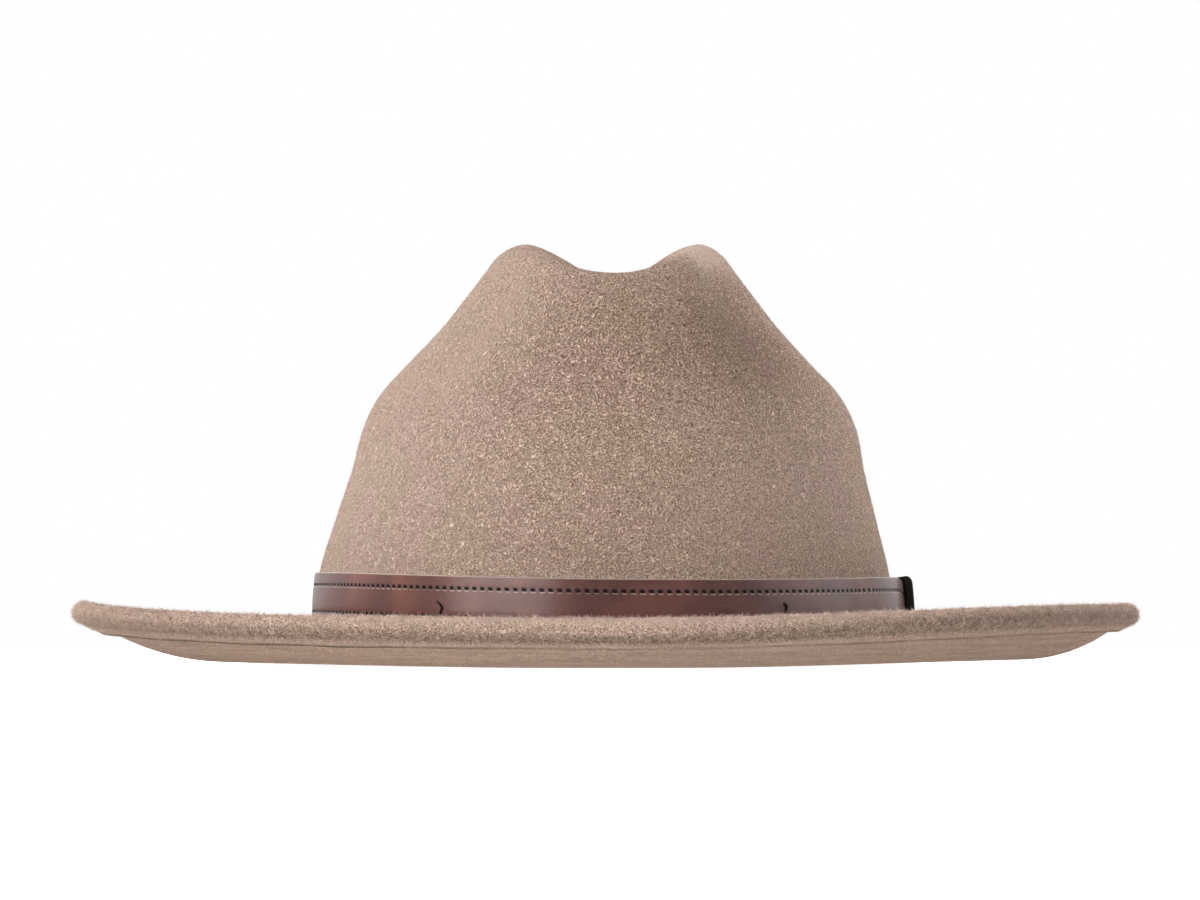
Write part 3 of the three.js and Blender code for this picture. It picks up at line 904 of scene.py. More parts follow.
@dataclass
class FeltBody:
    """Crown, brim and turned under edge in one skin, with its nap."""

    form: HatForm
    finish: FeltFinish = FeltFinish("wool_felt")
    nap_finish: NapFinish = NapFinish("wool_nap")
    columns: int = 440
    crown_rows: int = 82
    brim_rows: int = 19
    inner_rows: int = 9
    narrow_rows: int = 3
    lining_rows: int = 40
    welt_shares: tuple[float, ...] = (0.15, 0.3, 0.45, 0.6, 0.75, 0.86, 0.94, 1.0)
    # Painted light on the outer brim's top and on the top of its edge in front and behind, and painted
    # shade there at the sides.
    front_edge_light: float = 0.4
    side_edge_shade: float = -0.17
    # Painted light on the crown: paler at the foot, with painted shade darker towards the top.
    low_painted_light: float = 0.12
    high_painted_shade: float = -0.05
    foot_to_top: Span = (25.0, 100.0)
    # Painted shade on the welt and the underside towards the sides.
    under_painted_shade: float = -0.13
    side_worn: float = 0.6
    # Painted light on the crown's flanks, and painted shade in its left pinch.
    flank_painted_light: float = 0.11
    pinch_painted_shade: float = -0.33
    pinch_turn: float = 8.0
    pinch_widening: float = 1.6
    pinch_height: Span = (92.0, 18.0)
    # Painted light on the left crest's slope into the crease.
    crest_painted_light: float = 0.5
    crest_across: Span = (24.0, 10.0)
    crest_from: Span = (-66.0, -46.0)
    crest_rise: Span = (110.0, 118.0)
    top_edge_from: float = 0.6
    edge_light_turn: Span = (0.35, 0.75)
    # Strength of the painted shade line along the welt's raw edge, in front and at the sides.
    front_hem_shadow: float = 0.4
    side_hem_shadow: Sides = Sides(0.6, 0.95)
    # Where the painted shade of the fringe starts and fades, on the edge and along the welt.
    front_fringe: float = 0.72
    side_fringe: Sides = Sides(0.46, 0.55)
    fringe_ease: float = 0.28
    welt_fringe: Span = (0.28, 0.1)
    welt_ease: float = 0.4
    rubbed_from: Span = (0.4, 0.75)
    side_cosine: float = 0.6
    # Painted shade on the welt's last rows, towards its raw edge.
    hem_shadow_rows: tuple[float, ...] = (0.7, 1.0, 1.0)
    hem_slope: float = 0.25
    corner_rows: int = 6
    edge_rows: int = 12
    level_samples: int = 600
    above_band: Span = (27.0, 41.0)
    flap_from: Span = (0.78, 1.0)
    unevenness: Waviness = Waviness(seed=7, amplitude=0.32, shortest=16.0, longest=90.0)
    hem_unevenness: Waviness = Waviness(seed=11, amplitude=0.3, shortest=5.0, longest=40.0)
    brim_unevenness: Waviness = Waviness(seed=19, amplitude=0.35, shortest=60.0, longest=200.0)

    def angles(self) -> Array:
        """Column angles, from the front round through the wearer's left."""
        return -math.pi / 2 + TAU * np.arange(self.columns) / self.columns

    def even_levels(self, count: int) -> Array:
        """Levels from the crease to the foot, at even steps along the surface."""
        fine = np.linspace(self.form.top, 0.0, self.level_samples)
        angles = (0.0, -math.pi / 4, -math.pi / 2, math.pi / 2)
        run = np.mean([travel(self.form.crown(angle, fine)) for angle in angles], axis=0)
        return np.interp(np.linspace(0.0, run[-1], count), run, fine)

    def rows(self) -> tuple[Array, Ranges]:
        """All rows of the skin and the first and last row of each stretch.

        The rows run from the crease over the crown, down to the break, out along the
        brim, round the edge, back along the underside and up inside the crown.

        Returns:
            Points, rows by columns by 3, and the row range of each stretch.
        """
        form, t = self.form, self.angles()[None, :]
        width = form.brim_width(t)
        edge = width - form.edge_inset
        low_outer = edge - form.curl_reach.at(t)
        raw = width - form.welt_width.at(t)
        hem = raw + self.hem_unevenness.at(form.brim(t, raw))
        folded = np.array(self.welt_shares)[:, None]

        def steps(count: int) -> Array:
            """Even shares above 0 and up to 1, as a column."""
            return np.linspace(0.0, 1.0, count + 1)[1:, None]

        levels = self.even_levels(self.crown_rows)[:, None]
        cut = hem - self.hem_slope
        outer, inner = steps(self.brim_rows), steps(self.inner_rows)
        narrow, corner = steps(self.narrow_rows), steps(self.corner_rows)
        turn = steps(self.edge_rows) + 0 * t
        stretches = {
            "crown": form.crown(t, levels),
            "corner": form.hollow_corner(t, corner),
            "brim_in": form.brim(t, mix(form.break_radius, form.low_ring, inner)),
            "brim_mid": form.brim(t, mix(form.low_ring, low_outer, narrow)),
            "brim_out": form.brim(t, mix(low_outer, edge, outer)),
            "edge": form.brim_edge(np.broadcast_to(t, turn.shape), turn),
            "welt": form.brim(t, mix(edge, hem, folded), mix(form.welt, form.welt_hem, folded)),
            "hem": form.brim(t, mix(hem, cut, narrow), mix(form.welt_hem, form.felt, narrow)),
            "under_out": form.brim(t, mix(cut, low_outer, outer), form.felt),
            "under_mid": form.brim(t, mix(low_outer, form.low_ring, narrow), form.felt),
            "under_in": form.brim(t, mix(form.low_ring, form.break_radius, inner), form.felt),
            "inner_corner": form.hollow_corner(t, 1 - corner, form.felt),
            "lining": form.crown_inside(t, self.even_levels(self.lining_rows)[::-1][1:, None]),
        }
        ranges, start = {}, 0
        for name, block in stretches.items():
            ranges[name] = (start, start + len(block))
            start += len(block)
        grid = np.concatenate(list(stretches.values()))
        return self.uneven(self.zipped(grid), ranges), ranges

    def marks(self, grid: Array, ranges: Ranges) -> dict[str, Array]:
        """Where the felt gets painted shade, painted light or rubbed texture.

        Painted shade on the fringe eases in over the lower part of the rounded edge, higher up
        towards the sides, and out again along the welt. A thin line of painted shade lies on the
        welt's last rows and its raw edge, weakest in front. The rubbed felt begins along the welt
        and covers the underside, less at the sides. Painted light makes the brim's top near the edge
        and the top of the edge paler in front and behind; painted shade darkens them and the underside
        towards the sides, and the crown gets painted light and shade of its own.

        Args:
            grid: The skin's points.
            ranges: Row ranges by stretch.

        Returns:
            The four marks at each point: three from 0 to 1, and the painted light about 0.
        """
        marks = {name: np.zeros(grid.shape[:2]) for name in ("fringe", "hem_shadow", "worn", "pale")}
        fringe, hem_shadow, worn, pale = marks.values()
        theta = self.angles()[None, :]
        to_side = np.cos(theta) ** 2
        sideways = smooth(np.abs(np.cos(theta)) / self.side_cosine)
        stretch = {name: slice(*ends) for name, ends in ranges.items()}
        crown, edge, welt, hem = (stretch[name] for name in ("crown", "edge", "welt", "hem"))
        brim = stretch["brim_out"]
        outward = np.arange(brim.stop - brim.start)[:, None] / (brim.stop - brim.start)
        turn = np.arange(1, self.edge_rows + 1)[:, None] / self.edge_rows
        share = np.array(self.welt_shares)[:, None]
        # Painted light on the outer brim's top and the top of the rounded edge in front and behind, and
        # painted shade at the sides; on the lower part of the edge only the shade stays.
        edge_painted_light = mix(self.front_edge_light, self.side_edge_shade, to_side)
        pale[crown] = self.crown_painted_light(grid[crown])
        pale[brim] = edge_painted_light * eased(outward, self.top_edge_from, 1.0)
        pale[edge] = mix(edge_painted_light, np.minimum(edge_painted_light, 0.0), eased(turn, *self.edge_light_turn))
        # Painted shade on the fringe: the lower part of the rounded edge and the start of the welt.
        start = mix(self.front_fringe, self.side_fringe.at(theta), sideways)
        fringe[edge] = smooth((turn - start) / self.fringe_ease)
        start = mix(*self.welt_fringe, sideways)
        fringe[welt] = 1 - smooth((share - start) / self.welt_ease)
        # Painted shade along the welt's raw edge, weaker in front.
        sewn = mix(self.front_hem_shadow, self.side_hem_shadow.at(theta), sideways)
        hem_shadow[welt.stop - len(self.hem_shadow_rows):welt.stop] = np.array(self.hem_shadow_rows)[:, None] * sewn
        hem_shadow[hem] = sewn
        under = slice(hem.start, ranges["inner_corner"][0])
        worn[welt] = eased(share, *self.rubbed_from)
        worn[under] = 1.0
        worn *= mix(1.0, self.side_worn, to_side)
        # Painted shade on the welt and the underside, darker towards the sides.
        pale[welt.start:under.stop] = self.under_painted_shade * to_side
        return marks

    def crown_painted_light(self, skin: Array) -> Array:
        """Painted light and shade on the crown.

        Painted light makes it paler at the foot, on the flanks and on the left crest's slope into the
        crease, and painted shade makes it darker towards the top and in the left pinch.

        Args:
            skin: The crown's points, rows by columns by 3.

        Returns:
            The painted light at each point, about 0, and below 0 where it is painted shade.
        """
        x, y, z = np.moveaxis(skin, -1, 0)
        degrees = np.degrees(self.angles())[None, :]
        pinch = self.form.pinch_angle - 90.0 - self.pinch_turn
        reach = self.form.pinch_spread * math.sqrt(self.pinch_widening)
        dent = bell(degrees, pinch, reach) * bell(z, *self.pinch_height)
        crest = bell(x, *self.crest_across) * eased(y, *self.crest_from) * eased(z, *self.crest_rise)
        pale = mix(self.low_painted_light, self.high_painted_shade, eased(z, *self.foot_to_top))
        pale = pale + self.flank_painted_light * np.abs(np.cos(self.angles()))
        return pale + self.pinch_painted_shade * dent + self.crest_painted_light * crest

    def zipped(self, grid: Array) -> Array:
        """The first and last row folded onto a line: point i meets point n - i."""
        other = (-np.arange(self.columns)) % self.columns
        for row in (0, -1):
            grid[row] = (grid[row] + grid[row][other]) / 2
        return grid

    def uneven(self, grid: Array, ranges: Ranges) -> Array:
        """Moves the skin along its normals by the slow unevenness.

        On the crown it is nothing up to the band's top and eases in above it, and the
        lining moves with the outer face. The brim's outer part rises and falls on a
        slower wave, and nothing goes below the floor.

        Args:
            grid: The even skin.
            ranges: Row ranges by stretch.

        Returns:
            The uneven skin.
        """
        down, along = grid_steps(grid)
        normal = unit(np.cross(down, along))
        above_band = eased(grid[..., 2:], *self.above_band)
        wave = self.unevenness.at(grid)[..., None] * above_band
        outward = np.where(np.arange(len(grid)) < ranges["inner_corner"][0], 1.0, -1.0)
        moved = grid + normal * wave * outward[:, None, None]
        across = grid[..., 0] / self.form.brim_half_width
        radius = np.hypot(across, grid[..., 1] / self.form.brim_half_length)
        flap = eased(radius, *self.flap_from) * self.brim_unevenness.at(grid * [1.0, 1.0, 0.0])
        moved[..., 2] += flap
        moved[..., 2] = np.maximum(moved[..., 2], 0.0)
        return self.zipped(moved)

    def skin(self, grid: Array, marks: dict[str, Array]) -> None:
        """The closed skin, with its first and last row zipped by index.

        Args:
            grid: The skin's points.
            marks: Values at the same points, by name.
        """
        rows, columns = grid.shape[:2]
        index = np.arange(rows * columns)
        for row in (0, rows - 1):
            i = np.arange(columns)
            index[row * columns + i] = row * columns + np.minimum(i, (-i) % columns)
        faces = index[grid_faces(rows, columns, False, True)]
        used, faces = np.unique(faces, return_inverse=True)
        values = {name: value.ravel()[used] for name, value in marks.items()}
        parts = MeshParts(grid.reshape(-1, 3)[used], faces.reshape(-1, 4), values=values)
        made = parts.build("felt_skin")
        made.data.materials.append(self.finish.make())
        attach(made, "root")
        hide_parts(Node.FELT.value)
        LOG.info("felt_skin: %d faces", len(parts.faces))

    def build(self) -> None:
        """Makes the skin and its nap."""
        grid, ranges = self.rows()
        marks = self.marks(grid, ranges)
        self.skin(grid, marks)
        material = self.nap_finish.make()
        for patch in NAP_PATCHES:
            patch.build(grid, ranges, marks["fringe"], material)


class Lie(Enum):
    """How a patch's fibres stand, as the lowest and highest angle off the felt."""

    BRUSHED = (4.0, 26.0)
    TUFTED = (6.0, 52.0)
    WORN = (2.0, 18.0)


SPIKE = np.array([[1.0, 0.0, 0.0], [-0.5, 0.866, 0.0], [-0.5, -0.866, 0.0], [0.0, 0.0, 1.0]])
SPIKE_FACES = np.array([[0, 2, 1], [0, 1, 3], [1, 2, 3], [2, 0, 3]])


@dataclass(frozen=True)
class NapPatch:
    """Loose fibres over some stretches of the skin, in one mesh."""

    name: str
    stretches: tuple[tuple[str, float, float], ...]
    count: int
    lie: Lie
    length: Span
    thickness: float
    seed: int
    tone: Span = (0.1, 0.95)
    # Painted shade on the fibres: darker on the fringe and towards the sides.
    fringe_shade: float = 0.45
    side_shade: float = 0.0
    clump_shade: float = 0.0
    clump_waves: int = 6
    clump_length: float = 3.4
    root_depth: float = 0.06
    widths: Span = (0.7, 1.3)
    above_band: float = 26.0

    def clumps(self, root: Array, rng: np.random.Generator) -> Array:
        """The mean of some sine waves of one length through space, eased to 0 to 1."""
        heading = unit(rng.normal(size=(self.clump_waves, 3)))
        phase = rng.uniform(0.0, TAU, self.clump_waves)
        wave = np.sin(root @ heading.T * (TAU / self.clump_length) + phase)
        return smooth(0.5 + wave.mean(axis=1))

    def weights(self, grid: Array, ranges: Ranges) -> Array:
        """Chance of each grid cell: its area, on the chosen stretches and clear of the band."""
        cells = np.zeros((len(grid) - 1, grid.shape[1]))
        for stretch, start, end in self.stretches:
            first, last = ranges[stretch]
            rows = last - first
            from_row = max(first - 1 + int(start * rows), 0)
            cells[from_row:first - 1 + int(end * rows)] = 1.0
        down = np.diff(grid, axis=0)
        along = np.roll(grid, -1, axis=1)[:-1] - grid[:-1]
        area = np.linalg.norm(np.cross(down, along), axis=-1)
        if self.stretches[0][0] == "crown":
            area = area * (grid[:-1, :, 2] > self.above_band)
        return cells * area

    def build(
        self,
        grid: Array,
        ranges: Ranges,
        fringe: Array,
        material: Material,
    ) -> None:
        """Scatters the fibres as slender closed spikes of four triangles.

        A spike starts just under the felt and points along a random direction in the
        surface, lifted by a random angle.

        Args:
            grid: The skin's points.
            ranges: Row ranges by stretch.
            fringe: How far each point is on the shaded fringe.
            material: The nap's material.
        """
        rng = np.random.default_rng(self.seed)
        count = self.count
        chance = self.weights(grid, ranges).ravel()
        cell = rng.choice(len(chance), size=count, p=chance / chance.sum())
        row, column = np.divmod(cell, grid.shape[1])
        right = (column + 1) % grid.shape[1]
        u, v = rng.random((count, 1)), rng.random((count, 1))
        a, b, c, d = grid[row, column], grid[row + 1, column], grid[row + 1, right], grid[row, right]
        root = mix(mix(a, b, u), mix(d, c, u), v)
        down, along = unit(mix(b - a, c - d, v)), unit(mix(d - a, c - b, u))
        normal = unit(np.cross(down, along))
        side = np.cross(normal, down)
        turn = rng.uniform(0.0, TAU, (count, 1))
        low, high = self.lie.value
        lift = np.radians(rng.triangular(low, low, high, (count, 1)))
        flat = down * np.cos(turn) + side * np.sin(turn)
        heading = flat * np.cos(lift) + normal * np.sin(lift)
        length = rng.uniform(*self.length, (count, 1))
        first = unit(np.cross(heading, normal))
        second = np.cross(heading, first)
        width = self.thickness / 2 * rng.uniform(*self.widths, (count, 1))
        axes = np.stack([first * width, second * width, heading * length], axis=1)
        points, faces = repeated(SPIKE, SPIKE_FACES, root - normal * self.root_depth, axes)
        points[:, 2] = np.maximum(points[:, 2], 0.0)
        # Painted shade: fibres darker on the fringe and towards the sides of the brim.
        to_side = root[:, 0] ** 2 / (root[:, 0] ** 2 + root[:, 1] ** 2)
        shade = (1 - self.fringe_shade * fringe[row, column]) * (1 - self.side_shade * to_side)
        shade = shade * mix(1 - self.clump_shade, 1.0, self.clumps(root, rng))
        tone = rng.uniform(*self.tone, count) * shade
        made = MeshParts(points, faces, values={"tone": np.repeat(tone, 4)}).build(self.name)
        made.data.materials.append(material)
        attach(made, "root")
        LOG.info("%s: %d fibres", self.name, count)


TOP_STRETCHES = (("corner", 0, 1), ("brim_in", 0, 1), ("brim_mid", 0, 1), ("brim_out", 0, 1))
UNDER_STRETCHES = (("welt", 0.5, 1), ("under_out", 0, 1), ("under_mid", 0, 1), ("under_in", 0, 1))
NAP_PATCHES = (
    NapPatch("nap_crown", (("crown", 0, 1),), 48000, Lie.BRUSHED, (0.6, 1.5), 0.085, 21),
    NapPatch("nap_brim", TOP_STRETCHES, 24000, Lie.BRUSHED, (0.7, 1.7), 0.085, 22),
    NapPatch(
        name="nap_edge",
        stretches=(("edge", 0, 1),),
        count=48000,
        lie=Lie.TUFTED,
        length=(0.8, 2.3),
        thickness=0.12,
        seed=23,
        tone=(0.4, 1.1),
        side_shade=0.32,
        clump_shade=0.45,
    ),
    NapPatch(
        name="nap_fringe",
        stretches=(("welt", 0, 0.6),),
        count=14000,
        lie=Lie.TUFTED,
        length=(0.6, 1.5),
        thickness=0.09,
        seed=25,
        tone=(0.15, 0.85),
        side_shade=0.3,
        clump_shade=0.4,
    ),
    NapPatch("nap_under", UNDER_STRETCHES, 12000, Lie.WORN, (0.6, 1.2), 0.08, 24),
)


# Band


@dataclass(frozen=True)
class StrapPath:
    """Where the strap runs: round the crown once, then over its own start.

    Angles are in degrees from the wearer's left, positive towards the back.
    """

    form: HatForm
    leather: float = 1.0
    gap: float = 0.3
    foot: float = 0.5
    width: float = 14.6
    lap_width: float = 12.2
    start: float = -28.0
    tip: float = 20.0
    tip_length: float = 5.0
    tip_share: float = 0.12
    settle: float = 7.0
    lap_rise: float = 5.0
    keeper_from: float = -4.5
    keeper_to: float = 3.5
    keeper_wall: float = 0.6

    def turned(self, degrees: Array) -> Array:
        """Angles beyond half a turn, counted back from a full turn."""
        return np.where(degrees > 180.0, degrees - 360.0, degrees)

    def near_keeper(self, turn: Array) -> Array:
        """1 under the keeper, easing to 0 on either side."""
        before = eased(turn, self.keeper_from - self.settle, self.keeper_from)
        after = eased(turn, self.keeper_to + self.settle, self.keeper_to)
        return np.minimum(before, after)

    def offset(self, degrees: Array) -> Array:
        """Distance of the strap's inner face from the felt."""
        turn = self.turned(degrees)
        rise = smooth((turn - self.start + self.settle) / self.lap_rise)
        over = np.where(degrees > 180.0, rise, 0.0)
        lift = (self.keeper_wall + self.gap) * self.near_keeper(turn)
        return self.gap + lift + over * (self.leather + self.gap)

    def half_width(self, degrees: Array) -> Array:
        """Half the strap's width: narrower in the keeper and rounded at its tip."""
        turn = self.turned(degrees)
        trim = self.near_keeper(turn) * (self.width - self.lap_width) / 2
        to_tip = np.where(degrees > 180.0, np.clip((self.tip - turn) / self.tip_length, 0, 1), 1.0)
        return (self.width / 2 - trim) * np.sqrt(mix(self.tip_share, 1.0, 1 - (1 - to_tip) ** 2))

    @staticmethod
    def level(height: Array) -> Array:
        """Level on the crown of a height above the break line, along the straight foot."""
        return height / (CROWN_TABLE[1, 3] - CROWN_TABLE[0, 3])

    def point(self, degrees: Array, height: Array, offset: Array) -> Array:
        """A point at a height above the break line and a distance off the felt."""
        theta = np.radians(degrees)
        theta, level, offset = np.broadcast_arrays(theta, self.level(height), offset)
        normal = self.form.crown_normal(theta, level)
        return self.form.crown(theta, level) + normal * offset[..., None]

    @property
    def middle(self) -> float:
        """Height of the strap's centre line above the break line."""
        return self.foot + self.width / 2

    def run(self, degrees: Array) -> Array:
        """Length along the strap's centre line, in millimetres."""
        return travel(self.point(degrees, self.middle, self.offset(degrees)))


@dataclass(frozen=True)
class Tack:
    """A hooked stitch: its place, and points of run, height and radius along it."""

    angle: float
    height: float
    points: tuple[tuple[float, float, float], ...]

    def curve(self, share: Array, column: int) -> Array:
        """A cubic Hermite line through one column of the points, at even shares."""
        value = np.array(self.points)[:, column]
        slope = np.gradient(value)
        place = share * (len(value) - 1)
        i = np.minimum(place.astype(int), len(value) - 2)
        u = place - i
        rise = (2 * u**3 - 3 * u**2 + 1) * value[i] + (3 * u**2 - 2 * u**3) * value[i + 1]
        return rise + (u**3 - 2 * u**2 + u) * slope[i] + (u**3 - u**2) * slope[i + 1]


TACKS = (
    Tack(
        -122.9,
        7.0,
        (
            (-2.4, 2.1, 0.12),
            (-1.3, 1.4, 0.24),
            (-0.2, 0.7, 0.3),
            (0.3, -0.1, 0.36),
            (-0.2, -1.0, 0.36),
            (-0.8, -1.7, 0.4),
        ),
    ),
    Tack(
        -56.4,
        7.2,
        (
            (-0.5, 2.0, 0.3),
            (0.2, 1.5, 0.48),
            (0.6, 0.8, 0.4),
            (0.2, 0.0, 0.26),
            (-0.3, -0.9, 0.36),
            (-0.2, -1.9, 0.34),
        ),
    ),
)


@dataclass
class LeatherBand:
    """The strap, its two sewn lines and the two tacks that hold it to the felt."""

    path: StrapPath
    finish: LeatherFinish = LeatherFinish("band_leather")
    thread: ThreadFinish = ThreadFinish("band_thread")
    tack_thread: ThreadFinish = ThreadFinish("tack_thread", (0.012, 0.007, 0.006), (0.03, 0.018, 0.015))
    stations: int = 1200
    face_rows: int = 36
    row_top: float = 3.2
    row_bottom: float = 4.4
    pitch: float = STITCH_PITCH
    run_samples: int = 6000
    groove: float = 0.1
    groove_width: float = 0.8
    edge_round: float = 0.42
    corner_points: int = 5
    rear_rows: int = 8
    raw_edge: float = 0.44
    raw_ease: float = 0.4
    slant: float = -0.3
    stitch: tuple[float, float, float] = (0.66, 0.44, 0.05)
    stitch_foot: float = 0.25
    shoulder: float = 0.8
    stitch_sides: int = 8
    step: float = 0.3
    tack_rings: int = 33
    tack_sides: int = 10
    tack_radius: float = 96.0
    tack_lift: float = 0.15
    tack_sink: float = 0.55

    def relief(self, height: Array, half: Array) -> Array:
        """A shallow pressed line under each row of sewing, of Gaussian section.

        Args:
            height: Height from the strap's centre line.
            half: Half the strap's width there.

        Returns:
            Offset of the face, in millimetres.
        """
        lines = (half - self.row_top, -(half - self.row_bottom))
        return -self.groove * sum(bell(height, line, self.groove_width) for line in lines)

    def section(self, half: Array) -> tuple[Array, Array]:
        """The strap's section as one closed loop, starting low on the outer face.

        The loop is a rectangle with quarter circle corners.

        Args:
            half: Half width at each station, as a column.

        Returns:
            Heights and depths, stations by loop points.
        """
        r, thick = self.edge_round, self.path.leather
        quarter = np.linspace(0.0, math.pi / 2, self.corner_points)
        c, s = np.cos(quarter), np.sin(quarter)
        face = np.linspace(-1.0, 1.0, self.face_rows)[1:-1]
        rear = np.linspace(1.0, -1.0, self.rear_rows)[1:-1]
        one = np.ones_like(half)
        heights = [
            -half + r - r * c,
            (half - r) * face,
            half - r + r * s,
            half - r + r * c,
            (half - r) * rear,
            -half + r - r * s,
        ]
        depths = [
            (thick - r + r * s) * one,
            thick * one + 0 * face,
            (thick - r + r * c) * one,
            (r - r * s) * one,
            0 * one + 0 * rear,
            (r - r * c) * one,
        ]
        return np.concatenate(heights, axis=1), np.concatenate(depths, axis=1)

    def strap(self) -> None:
        """The strap as one closed skin: outer face, rounded edges and inner face."""
        path = self.path
        degrees = np.linspace(path.start, 360.0 + path.tip, self.stations)[:, None]
        run = path.run(degrees[:, 0])[:, None]
        half = path.half_width(degrees)
        heights, depths = self.section(half)
        outer = eased(depths, path.leather / 2, path.leather)
        depths = depths + outer * self.relief(heights, half)
        grid = path.point(degrees, path.middle + heights, path.offset(degrees) + depths)
        values = {
            "rim": smooth((np.abs(heights) - half + self.raw_edge) / (self.raw_ease * self.raw_edge)),
            "run": run + 0 * heights,
            "upper": heights - (half - self.row_top),
            "lower": heights + (half - self.row_bottom),
        }
        stations, count = grid.shape[:2]
        faces = grid_faces(stations, count, False, True)[:, ::-1]
        first = list(range(count))
        last = [(stations - 1) * count + i for i in range(count)]
        made = MeshParts(grid.reshape(-1, 3), faces, [first, last[::-1]], values).build("band_strap")
        made.data.materials.append(self.finish.make())
        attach(made, "root")
        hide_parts(Node.BAND.value)
        LOG.info("band_strap: %d faces", len(faces))

    def sewing(self) -> None:
        """Both lines of thread: one short rounded stitch in each pitch, slightly slanted."""
        path = self.path
        degrees = np.linspace(path.start, 360.0 + path.tip, self.run_samples)
        run = path.run(degrees)
        places = (np.arange(1, int(run[-1] / self.pitch) - 1) + 0.5) * self.pitch
        at = np.interp(places, run, degrees)
        half = path.half_width(at)
        template, faces = self.stitch_shape()
        points, quads = [], []
        for line in (half - self.row_top, -(half - self.row_bottom)):
            height = path.middle + line
            depth = path.offset(at) + path.leather - self.groove
            origin = path.point(at, height, depth)
            after, before = (path.point(at + step, height, depth) for step in (self.step, -self.step))
            above, below = (path.point(at, height + step, depth) for step in (self.step, -self.step))
            along, up = unit(after - before), unit(above - below)
            axes = np.stack([along, unit(up + along * self.slant), unit(np.cross(along, up))], axis=1)
            more, index = repeated(template, faces, origin, axes)
            quads.append(index + sum(len(p) for p in points))
            points.append(more)
        made = MeshParts(np.concatenate(points), np.concatenate(quads)).build("band_stitches")
        made.data.materials.append(self.thread.make())
        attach(made, "root")
        LOG.info("band_stitches: %d stitches", 2 * len(places))

    def stitch_shape(self) -> tuple[Array, Array]:
        """A low pad, |x|^4 + |y|^4 = 1 in plan: a foot ring, a shoulder ring and a middle.

        Returns:
            Points and quads.
        """
        n = self.stitch_sides
        turn = TAU * (np.arange(n) + 0.5) / n
        c, s = np.cos(turn), np.sin(turn)
        reach = (c**4 + s**4) ** -0.25
        long, wide, high = self.stitch
        ring = np.stack([long * reach * c, wide * reach * s, np.zeros(n)], axis=-1)
        foot = ring + [0.0, 0.0, -self.stitch_foot]
        shoulder = ring * [self.shoulder, self.shoulder, 1.0] + [0.0, 0.0, high]
        points = np.concatenate([foot, ring, shoulder])
        side = grid_faces(3, n, False, True)[:, ::-1]
        floor = np.array([[3, 2, 1, 0], [7, 4, 3, 0], [7, 6, 5, 4]])
        return points, np.concatenate([side, floor, floor[:, ::-1] + 2 * n])

    def tacks(self) -> None:
        """Two hooked stitches that hold the strap to the felt.

        Each follows a smooth line through its own points and sinks into the leather at
        both ends. The tube's radius follows its own points too.
        """
        path = self.path
        points, quads, caps = [], [], []
        turn = TAU * np.arange(self.tack_sides) / self.tack_sides
        for tack in TACKS:
            share = np.linspace(0.0, 1.0, self.tack_rings)
            along, up, radius = (tack.curve(share, column) for column in range(3))
            height = tack.height + up
            degrees = tack.angle + np.degrees(along / self.tack_radius)
            sink = self.tack_sink * np.abs(2 * share - 1) ** 3
            depth = path.offset(degrees) + path.leather + self.tack_lift - sink
            line = path.point(degrees, height, depth)
            ahead = unit(np.gradient(line, axis=0))
            out = path.form.crown_normal(np.radians(degrees), path.level(height))
            side = unit(np.cross(ahead, out))[:, None]
            out = np.cross(side[:, 0], ahead)[:, None]
            ring = side * np.cos(turn)[:, None] + out * np.sin(turn)[:, None]
            tube = line[:, None] + ring * radius[:, None, None]
            start = sum(len(p) for p in points)
            quads.append(grid_faces(self.tack_rings, self.tack_sides, False, True)[:, ::-1] + start)
            points.append(tube.reshape(-1, 3))
            first = [start + i for i in range(self.tack_sides)]
            caps += [first, [i + (self.tack_rings - 1) * self.tack_sides for i in first][::-1]]
        made = MeshParts(np.concatenate(points), np.concatenate(quads), caps).build("band_tacks")
        made.data.materials.append(self.tack_thread.make())
        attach(made, "root")
        LOG.info("band_tacks: %d", len(TACKS))

    def build(self) -> None:
        """Makes strap, stitches and tacks."""
        self.strap()
        self.sewing()
        self.tacks()


